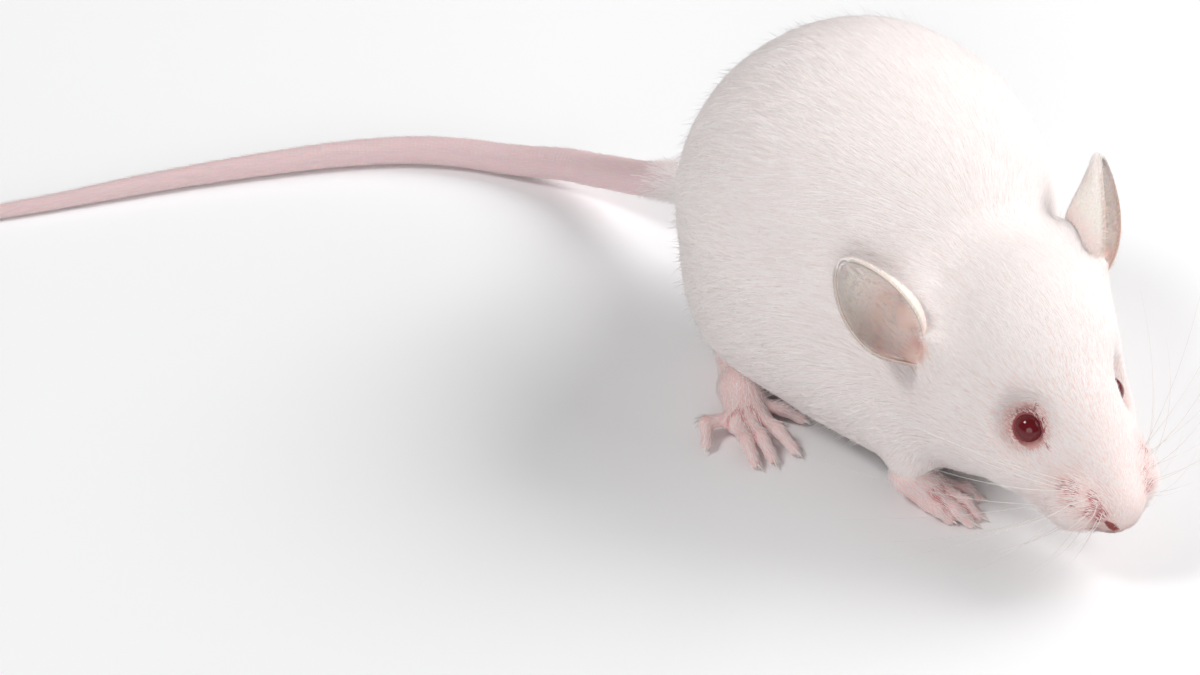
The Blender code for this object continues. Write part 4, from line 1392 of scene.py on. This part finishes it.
def claw_material(tints):
    """Pale, nearly clear horn with a soft shine."""
    material, _, shader = new_material("Pale claw horn")
    shader.inputs["Base Color"].default_value = tints.claw[:]
    shader.inputs["Roughness"].default_value = 0.3
    shader.inputs["Subsurface Weight"].default_value = 0.3
    shader.inputs["Subsurface Scale"].default_value = 0.0005
    return material


def whisker_material(tints):
    """Stiff white whisker hair with a smooth surface."""
    material, _, shader = new_material("Whisker hair")
    shader.inputs["Base Color"].default_value = tints.whisker[:]
    shader.inputs["Roughness"].default_value = 0.35
    return material


def floor_material(tints):
    """White paper sweep, quite matt."""
    material, _, shader = new_material("White paper")
    shader.inputs["Base Color"].default_value = tints.floor[:]
    shader.inputs["Roughness"].default_value = 0.8
    return material


def paint_skin(mesh, points, tints):
    """Tones of the skin at its vertices, with painted shade in the creases, the nostrils, between
    the toes and on the ears' rims.
    """
    local = off_head(points)
    beside = local.copy()
    beside[:, 0] = np.abs(beside[:, 0])
    outside = coat_level(points)
    tones = np.tile(np.array(tints.covered_skin[:]), (len(points), 1))

    def lay(tint, share):
        share = np.clip(share, 0.0, 1.0)[:, None]
        tones[:] = tones * (1 - share) + np.array(tint[:]) * share

    lay(tints.face_skin, 1.0 - smooth_step(local[:, 1], 2.0, 14.0))
    lay(tints.rosy_skin, pinkness(points) * 0.8)
    lay(tints.follicle, (1.0 - smooth_step(from_follicles(points), 0.35, 0.85)) * 0.9)
    # painted shade: the creases of the face are painted a darker pink, where shade gathers in them
    lay(tints.shaded_groove, 1.0 - smooth_step(from_grooves(points), 0.05, 0.3))
    eye = np.linalg.norm(beside - np.array(EYE_CENTRE), axis=1)
    lay(tints.lid, 1.0 - smooth_step(eye, EYE_RADIUS + 0.10, EYE_RADIUS + 0.5))
    # painted shade: the inside of each nostril is painted dark red-brown for the shade in the
    # opening
    for nostril in NOSTRIL:
        lay(tints.nostril, 1.0 - smooth_step(limb_distance(beside, nostril), 0.06, 0.22))
    ear = (outside > 0.35) & (beside[:, 0] > 8.0) & (beside[:, 1] > 8.0) & (points[:, 2] > 12.0)
    lay(tints.ear, ear * smooth_step(outside, 0.3, 2.5))
    lay(tints.ear_foot, ear * (1.0 - smooth_step(outside, 0.5, 3.0)) * 0.4)
    lay(tints.ear_foot, in_ear_cup(points))
    # painted shade: the ear's rim is painted darker than the leaf, so the top light does not leave
    # it brighter than the hollow
    rim = np.array([ear_point(along, across, 0.0) for across in (-1.0, 1.0)
                    for along in np.linspace(0.1, 1.0, 40)])
    leaf = np.flatnonzero(ear)
    near = np.sqrt(((beside[leaf, None, :] - rim[None]) ** 2).sum(axis=2).min(axis=1))
    edge = np.zeros(len(points))
    edge[leaf] = 1.0 - smooth_step(near, 0.25, 0.6)
    lay(tints.ear_rim_shade, edge)
    # painted shade in the hollow of the ear canal
    lay(tints.shaded_groove, (1.0 - smooth_step(limb_distance(beside, EAR_CANAL), -0.9, 0.2)) * 0.45)
    foot = smooth_step(-points[:, 2], -6.5, -4.0) * (outside > 0.3) * (points[:, 1] < -12.0)
    lay(tints.foot, foot)
    # painted shade: the skin between the toes is painted a darker pink, where shade gathers
    low = np.flatnonzero((points[:, 2] < 7.0) & (outside > 0.3) & (points[:, 1] < -12.0))
    crease = np.zeros(len(points))
    for _, _, digits, radii, place in FEET:
        gaps = np.sort([np.min([limb_distance(points[low], place(limb))
                                for limb in toe_forms(digit, radii)], axis=0)
                        for digit in digits], axis=0)
        between = (1.0 - smooth_step(gaps[1] - gaps[0], 0.05, 0.55)) * (gaps[0] < 1.0)
        crease[low] = np.maximum(crease[low], between)
    lay(tints.toe_crease_shade, crease)
    lay(tints.tail, smooth_step(points[:, 1], -4.5, -1.0))
    layer = mesh.color_attributes.new("tone", "FLOAT_COLOR", "POINT")
    layer.data.foreach_set("color", np.ascontiguousarray(tones, float).ravel())


# ---------------------------------------------------------------------------
# Whiskers and tail bristles, by Geometry Nodes
# ---------------------------------------------------------------------------
WHISKER_RINGS = 14
WHISKER_LENGTHS = (6.0, 3.9)               # of the front ones, and more for each column behind
WHISKER_SWEEP = {1: -0.45, -1: -0.80}      # how far back the front whiskers point on each side
COLUMN_SWEEP = 0.30
WHISKER_LIFT, ROW_FALL = 0.60, 0.45
WHISKER_TIP, BRISTLE_TIP = 0.2, 0.3        # radius of the tip over that of the root


def whisker_lines():
    """Routes of the whiskers on the working axes, as rows of places."""
    dice = np.random.default_rng(5)
    lines = []
    for side in (1, -1):
        for number, place in enumerate(FOLLICLES):
            row, column = divmod(number, FOLLICLE_COLUMNS)
            front_length, step = WHISKER_LENGTHS
            length = (front_length + step * column) * dice.uniform(0.8, 1.15)
            lift = WHISKER_LIFT - ROW_FALL * row + dice.normal(0.0, 0.12)
            sweep = WHISKER_SWEEP[side] + COLUMN_SWEEP * column + dice.normal(0.0, 0.18)
            way = np.array((1.0, sweep, lift))
            way /= np.linalg.norm(way)
            droop = np.array((0.0, dice.uniform(0.3, 0.8), dice.uniform(-0.5, -0.15)))
            line = []
            for ring in range(WHISKER_RINGS):
                share = ring / (WHISKER_RINGS - 1)
                at = place + way * (length * share - 0.2) + droop * length * share * share * 0.5
                line.append(on_head(at * np.array((side, 1.0, 1.0))))
            line = np.array(line)
            line[:, 2] = np.maximum(line[:, 2], 0.4)
            lines.append(line)
    return lines


def bristle_lines():
    """Short hairs that lie back along the tail."""
    dice = np.random.default_rng(7)
    places, radii, run = tail_line()
    lines = []
    at = 0.4
    while at < run[-1] - 0.6:
        radius = np.interp(at, run, radii)
        count = int(9 + 6 * radius / TAIL_RADIUS)
        place, along, across, up = tail_frame(places, run, at)
        for number in range(count):
            angle = 2 * math.pi * (number + dice.random()) / count
            out = across * math.cos(angle) + up * math.sin(angle)
            root = place + out * radius * 0.93
            if root[2] < 0.12:
                continue
            length = dice.uniform(1.0, 1.7)
            line = [root, root + along * length * 0.5 + out * 0.16,
                    root + along * length + out * 0.26]
            lines.append(np.array([(p[0], p[1], max(p[2], 0.06)) for p in line]))
        at += RING_PITCH * (0.55 + 0.45 * radius / TAIL_RADIUS)
    return lines


def line_mesh(name, lines):
    verts, edges = [], []
    share = []
    for line in lines:
        start = len(verts)
        verts.extend(to_row(line).tolist())
        share.extend(np.linspace(0.0, 1.0, len(line)).tolist())
        edges.extend((start + step, start + step + 1) for step in range(len(line) - 1))
    mesh = bpy.data.meshes.new(name)
    mesh.from_pydata(verts, edges, [])
    layer = mesh.attributes.new("along", "FLOAT", "POINT")
    layer.data.foreach_set("value", share)
    return mesh


def hair_tree():
    """Geometry nodes that turn lines into tapering closed hairs."""
    tree = bpy.data.node_groups.new("Tapering hairs", "GeometryNodeTree")
    tree.interface.new_socket("Geometry", in_out="INPUT", socket_type="NodeSocketGeometry")
    for name in ("Radius", "Tip share"):
        tree.interface.new_socket(name, in_out="INPUT", socket_type="NodeSocketFloat")
    tree.interface.new_socket("Material", in_out="INPUT", socket_type="NodeSocketMaterial")
    tree.interface.new_socket("Geometry", in_out="OUTPUT", socket_type="NodeSocketGeometry")
    entry = add_node(tree, "NodeGroupInput")
    along = add_node(tree, "GeometryNodeInputNamedAttribute", {"data_type": "FLOAT"}, Name="along")
    curves = add_node(tree, "GeometryNodeMeshToCurve", Mesh=entry.outputs["Geometry"])
    taper = add_node(tree, "ShaderNodeMapRange", From_Min=0.0, From_Max=1.0, To_Min=1.0,
                     To_Max=entry.outputs["Tip share"], Value=along.outputs["Attribute"])
    radius = add_node(tree, "ShaderNodeMath", {"operation": "MULTIPLY"})
    tree.links.new(taper.outputs["Result"], radius.inputs[0])
    tree.links.new(entry.outputs["Radius"], radius.inputs[1])
    ring = add_node(tree, "GeometryNodeCurvePrimitiveCircle", Resolution=5, Radius=1.0)
    solid = add_node(tree, "GeometryNodeCurveToMesh", Curve=curves.outputs["Curve"],
                     Profile_Curve=ring.outputs["Curve"], Fill_Caps=True,
                     Scale=radius.outputs["Value"])
    real = add_node(tree, "GeometryNodeRealizeInstances", Geometry=solid.outputs["Mesh"])
    painted = add_node(tree, "GeometryNodeSetMaterial", Geometry=real.outputs["Geometry"],
                       Material=entry.outputs["Material"])
    add_node(tree, "NodeGroupOutput", Geometry=painted.outputs["Geometry"])
    return tree


def grow_hairs(name, lines, radius, tip_share, material):
    hairs = new_object(name, line_mesh(name, lines))
    modifier = hairs.modifiers.new("hairs", "NODES")
    modifier.node_group = hair_tree()
    for item in modifier.node_group.interface.items_tree:
        if item.item_type == "SOCKET" and item.in_out == "INPUT":
            value = {"Radius": radius, "Tip share": tip_share, "Material": material}.get(item.name)
            if value is not None:
                modifier[item.identifier] = value
    evaluated(hairs)
    return hairs


# ---------------------------------------------------------------------------
# Stage
# ---------------------------------------------------------------------------
CAMERA_PLACE = (-260.58, -263.01, 295.96)
CAMERA_TURN, CAMERA_FALL, CAMERA_LENS = -43.4, 40.0, 122.2
SENSOR_WIDTH = 36.0
FLOOR_SIZE = 3.0             # metres to each side
STAGE_MIDDLE = (0.0, -30.0, 10.0)
LIGHTS = (                   # metres from the middle of the stage, size across, power
    ("soft key", (0.60, -0.15, 0.50), 0.55, "key_power"),
    ("front", (0.50, -0.55, 0.50), 0.7, "front_power"),
    ("low fill", (-1.50, -1.15, 0.45), 1.5, "fill_power"),
    ("window", (-0.45, 0.32, 0.72), 0.24, "window_power"),
)


def make_camera():
    data = bpy.data.cameras.new("camera")
    data.lens = CAMERA_LENS
    data.sensor_width = SENSOR_WIDTH
    camera = bpy.data.objects.new("camera", data)
    bpy.context.collection.objects.link(camera)
    camera.location = to_row(np.array(CAMERA_PLACE))
    camera.rotation_euler = (math.radians(90.0 - CAMERA_FALL), 0.0, math.radians(CAMERA_TURN))
    bpy.context.scene.camera = camera
    return camera


def make_floor(tints):
    bm = bmesh.new()
    bmesh.ops.create_grid(bm, x_segments=1, y_segments=1, size=FLOOR_SIZE)
    floor = new_object("floor", mesh_from(bm, "floor"))
    floor.data.materials.append(floor_material(tints))
    return floor


def make_light(name, place, aim, size, power):
    data = bpy.data.lights.new(name, "AREA")
    data.shape = "DISK"
    data.size = size
    data.energy = power
    light = bpy.data.objects.new(name, data)
    bpy.context.collection.objects.link(light)
    light.location = Vector(place)
    light.rotation_euler = (Vector(aim) - Vector(place)).to_track_quat("-Z", "Y").to_euler()
    return light


def make_world(strength):
    world = bpy.data.worlds.new("white room")
    world.use_nodes = True
    world.node_tree.nodes["Background"].inputs["Color"].default_value = colour("#FFFFFF")
    world.node_tree.nodes["Background"].inputs["Strength"].default_value = strength
    bpy.context.scene.world = world


# ---------------------------------------------------------------------------
# Operators and panel
# ---------------------------------------------------------------------------
EAR_NODES = ("ear_left", "ear_right")
FLESH_NODES = ("head", "neck", "chest", "loin", "rump", "foreleg_left", "foreleg_right",
               "hind_leg_left", "hind_leg_right", "forefoot_left", "forefoot_right",
               "hind_foot_left", "hind_foot_right", "tail_1", "tail_2", "tail_3", "tail_4",
               "tail_5") + EAR_NODES
CLAWS = (("claws_hind_right", HIND_TOES, same), ("claws_hind_left", HIND_TOES, left_hind),
         ("claws_fore_right", FINGERS, same), ("claws_fore_left", FINGERS, left_fore))


def size_property(name, description, default, low, high, unit="NONE"):
    return bpy.props.FloatProperty(name=name, description=description, default=default,
                                   min=low, max=high, precision=5, unit=unit)


def tint_property(name, description, text):
    return bpy.props.FloatVectorProperty(name=name, description=description, size=4,
                                         subtype="COLOR", min=0.0, max=1.0, default=colour(text))


class MouseSizes(bpy.types.PropertyGroup):
    """Sizes of the coat, the whiskers and the lights"""
    tuft_length: size_property("Tuft length", "Length of the tufts against a real coat",
                               1.0, 0.3, 2.0)
    tuft_width: size_property("Tuft width", "Width of the tufts against the usual", 1.0, 0.3, 2.0)
    stray_share: size_property("Stray hairs", "Share of the tufts that stand clear", 0.06, 0.0, 0.3)
    whisker_radius: size_property("Whisker radius", "Radius of a whisker at its root",
                                  0.040 * MM, 0.0, MM, "LENGTH")
    bristle_radius: size_property("Bristle radius", "Radius of a tail bristle at its root",
                                  0.022 * MM, 0.0, MM, "LENGTH")
    key_power: size_property("Key light", "Power of the soft key light", 4.2, 0.0, 100.0, "POWER")
    front_power: size_property("Front light", "Power of the front light", 2.8, 0.0, 100.0, "POWER")
    fill_power: size_property("Fill light", "Power of the low, far fill", 13.0, 0.0, 100.0, "POWER")
    window_power: size_property("Window", "Power of the small light in the eyes",
                                2.5, 0.0, 100.0, "POWER")
    room_strength: size_property("Room", "Strength of the white room's own light", 0.16, 0.0, 5.0)


class MouseTints(bpy.types.PropertyGroup):
    """Colours of the skin, the coat and the other pieces"""
    # painted shade: the hair root tints are darker than the tip tints, as the shade deep in the
    # coat
    shaded_hair_root: tint_property("Hair root", "Guard hair near the skin", "#E9DEDB")
    hair_tip: tint_property("Hair tip", "Guard hair at its tip", "#FAF6F5")
    shaded_thin_hair_root: tint_property("Thin hair root", "Hair of the muzzle and lids", "#E9C8C3")
    thin_hair_tip: tint_property("Thin hair tip", "Hair of the muzzle and lids", "#F6EAE7")
    covered_skin: tint_property("Covered skin", "Skin under the thick coat", "#F4E9E6")
    face_skin: tint_property("Face skin", "Skin under the thin coat of the face", "#F2D9D4")
    rosy_skin: tint_property("Rosy skin", "Skin of nose, lids and lips", "#DDA29C")
    follicle: tint_property("Whisker root", "Skin between the whiskers", "#B4545C")
    # painted shade: a darker pink laid in the creases of the face and in the ear canal
    shaded_groove: tint_property("Groove", "Skin in the creases of the face", "#B5696C")
    lid: tint_property("Lid", "Rim of the lids", "#9A4B50")
    # painted shade inside the nostrils
    nostril: tint_property("Nostril", "Inside of the nose", "#94443F")
    ear: tint_property("Ear", "Thin leaf of the ear", "#F6F0E9")
    # painted shade on the ear's rim
    ear_rim_shade: tint_property("Ear rim", "Thin edge of the ear", "#D2C4BA")
    ear_foot: tint_property("Ear foot", "Skin at the foot of the ear", "#F0D6CD")
    foot: tint_property("Foot", "Bare skin of the feet", "#EBC8C6")
    # painted shade between the toes
    toe_crease_shade: tint_property("Toe crease", "Skin between the toes", "#CF8A8B")
    tail: tint_property("Tail", "Scaly skin of the tail", "#E4C8CA")
    eye: tint_property("Eye", "Albino eye", "#66121B")
    claw: tint_property("Claw", "Horn of the claws", "#EBD9D0")
    whisker: tint_property("Whisker", "Whiskers and tail bristles", "#E6E0DC")
    floor: tint_property("Floor", "Paper of the floor", "#FBFBFC")


def finish_piece(piece, material=None):
    if material is not None:
        piece.data.materials.clear()
        piece.data.materials.append(material)
    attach(piece, "root")
    return piece


SKIN_PARTS = {}


class MOUSE_OT_skin(bpy.types.Operator):
    """Make the one skin that stands for the flesh of the mouse"""
    bl_idname = "mouse.skin"
    bl_label = "Skin"

    def execute(self, context):
        skin = make_skin()
        points = points_of(skin.data)
        SKIN_PARTS["points"], SKIN_PARTS["triangles"] = points, triangles_of(skin.data)
        paint_skin(skin.data, points, context.scene.mouse_tints)
        put_points(skin.data, to_row(points))
        skin.data.polygons.foreach_set("use_smooth", np.ones(len(skin.data.polygons), bool))
        skin.name = "skin"
        finish_piece(skin, skin_material())
        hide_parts(*FLESH_NODES)
        return {"FINISHED"}


class MOUSE_OT_coat(bpy.types.Operator):
    """Lay the tufts of the coat over the skin"""
    bl_idname = "mouse.coat"
    bl_label = "Coat"

    def execute(self, context):
        if not SKIN_PARTS:
            raise RuntimeError("the coat grows on the skin, so the skin comes first")
        material = fur_material(context.scene.mouse_tints)
        pieces = make_body_coat(SKIN_PARTS["points"], SKIN_PARTS["triangles"],
                                context.scene.mouse_sizes)
        pieces += [make_ear_coat("coat_ear_left", 1), make_ear_coat("coat_ear_right", -1)]
        for name, *parts in FEET:
            pieces.append(make_foot_coat("coat_" + name, *parts))
        pieces.append(make_tail_coat("coat_tail_root"))
        for piece in pieces:
            finish_piece(piece, material)
            piece.visible_shadow = False      # white hairs pass light on; the skin casts the shade
        return {"FINISHED"}


class MOUSE_OT_eyes(bpy.types.Operator):
    """Set the two eyes in the head"""
    bl_idname = "mouse.eyes"
    bl_label = "Eyes"

    def execute(self, context):
        material = eye_material(context.scene.mouse_tints)
        for name, side in (("eye_left", 1), ("eye_right", -1)):
            eye = finish_piece(make_eye("wet_" + name, side), material)
            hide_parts(name)
        return {"FINISHED"}


class MOUSE_OT_claws(bpy.types.Operator):
    """Set a claw in every toe and finger"""
    bl_idname = "mouse.claws"
    bl_label = "Claws"

    def execute(self, context):
        material = claw_material(context.scene.mouse_tints)
        for name, digits, place in CLAWS:
            finish_piece(make_claws(name, digits, place), material)
        return {"FINISHED"}


class MOUSE_OT_whiskers(bpy.types.Operator):
    """Grow the whiskers from the muzzle"""
    bl_idname = "mouse.whiskers"
    bl_label = "Whiskers"

    def execute(self, context):
        whiskers = grow_hairs("whiskers", whisker_lines(), context.scene.mouse_sizes.whisker_radius,
                              WHISKER_TIP, whisker_material(context.scene.mouse_tints))
        finish_piece(whiskers)
        return {"FINISHED"}


class MOUSE_OT_bristles(bpy.types.Operator):
    """Grow the short hairs of the tail"""
    bl_idname = "mouse.bristles"
    bl_label = "Tail bristles"

    def execute(self, context):
        bristles = grow_hairs("tail_bristles", bristle_lines(),
                              context.scene.mouse_sizes.bristle_radius,
                              BRISTLE_TIP, whisker_material(context.scene.mouse_tints))
        finish_piece(bristles)
        return {"FINISHED"}


class MOUSE_OT_stage(bpy.types.Operator):
    """Set the floor, the lights and the camera"""
    bl_idname = "mouse.stage"
    bl_label = "Stage"

    def execute(self, context):
        sizes = context.scene.mouse_sizes
        make_world(sizes.room_strength)
        middle = to_row(np.array(STAGE_MIDDLE))
        lights = [make_light(name, middle + np.array(offset), middle, size, getattr(sizes, power))
                  for name, offset, size, power in LIGHTS]
        make_floor(context.scene.mouse_tints)
        make_camera()
        context.scene.view_settings.view_transform = "Standard"
        return {"FINISHED"}


OPERATORS = (MOUSE_OT_skin, MOUSE_OT_coat, MOUSE_OT_eyes, MOUSE_OT_claws, MOUSE_OT_whiskers,
             MOUSE_OT_bristles, MOUSE_OT_stage)


class MOUSE_PT_looks(bpy.types.Panel):
    """Buttons for the pieces of the mouse"""
    bl_idname = "MOUSE_PT_looks"
    bl_label = "White mouse looks"
    bl_space_type = "VIEW_3D"
    bl_region_type = "UI"
    bl_category = "Mouse"

    def draw(self, context):
        for operator in OPERATORS:
            self.layout.operator(operator.bl_idname)
        for group in (context.scene.mouse_sizes, context.scene.mouse_tints):
            column = self.layout.column(align=True)
            for name in group.bl_rna.properties.keys():
                if name not in ("rna_type", "name"):
                    column.prop(group, name)


CLASSES = (MouseSizes, MouseTints) + OPERATORS + (MOUSE_PT_looks,)


def register():
    for kind in CLASSES:
        bpy.utils.register_class(kind)
    bpy.types.Scene.mouse_sizes = bpy.props.PointerProperty(type=MouseSizes)
    bpy.types.Scene.mouse_tints = bpy.props.PointerProperty(type=MouseTints)


def unregister():
    del bpy.types.Scene.mouse_tints
    del bpy.types.Scene.mouse_sizes
    for kind in reversed(CLASSES):
        bpy.utils.unregister_class(kind)


def main():
    register()
    for step in (bpy.ops.mouse.skin, bpy.ops.mouse.coat, bpy.ops.mouse.eyes, bpy.ops.mouse.claws,
                 bpy.ops.mouse.whiskers, bpy.ops.mouse.bristles, bpy.ops.mouse.stage):
        step()


if __name__ == "__main__":
    main()
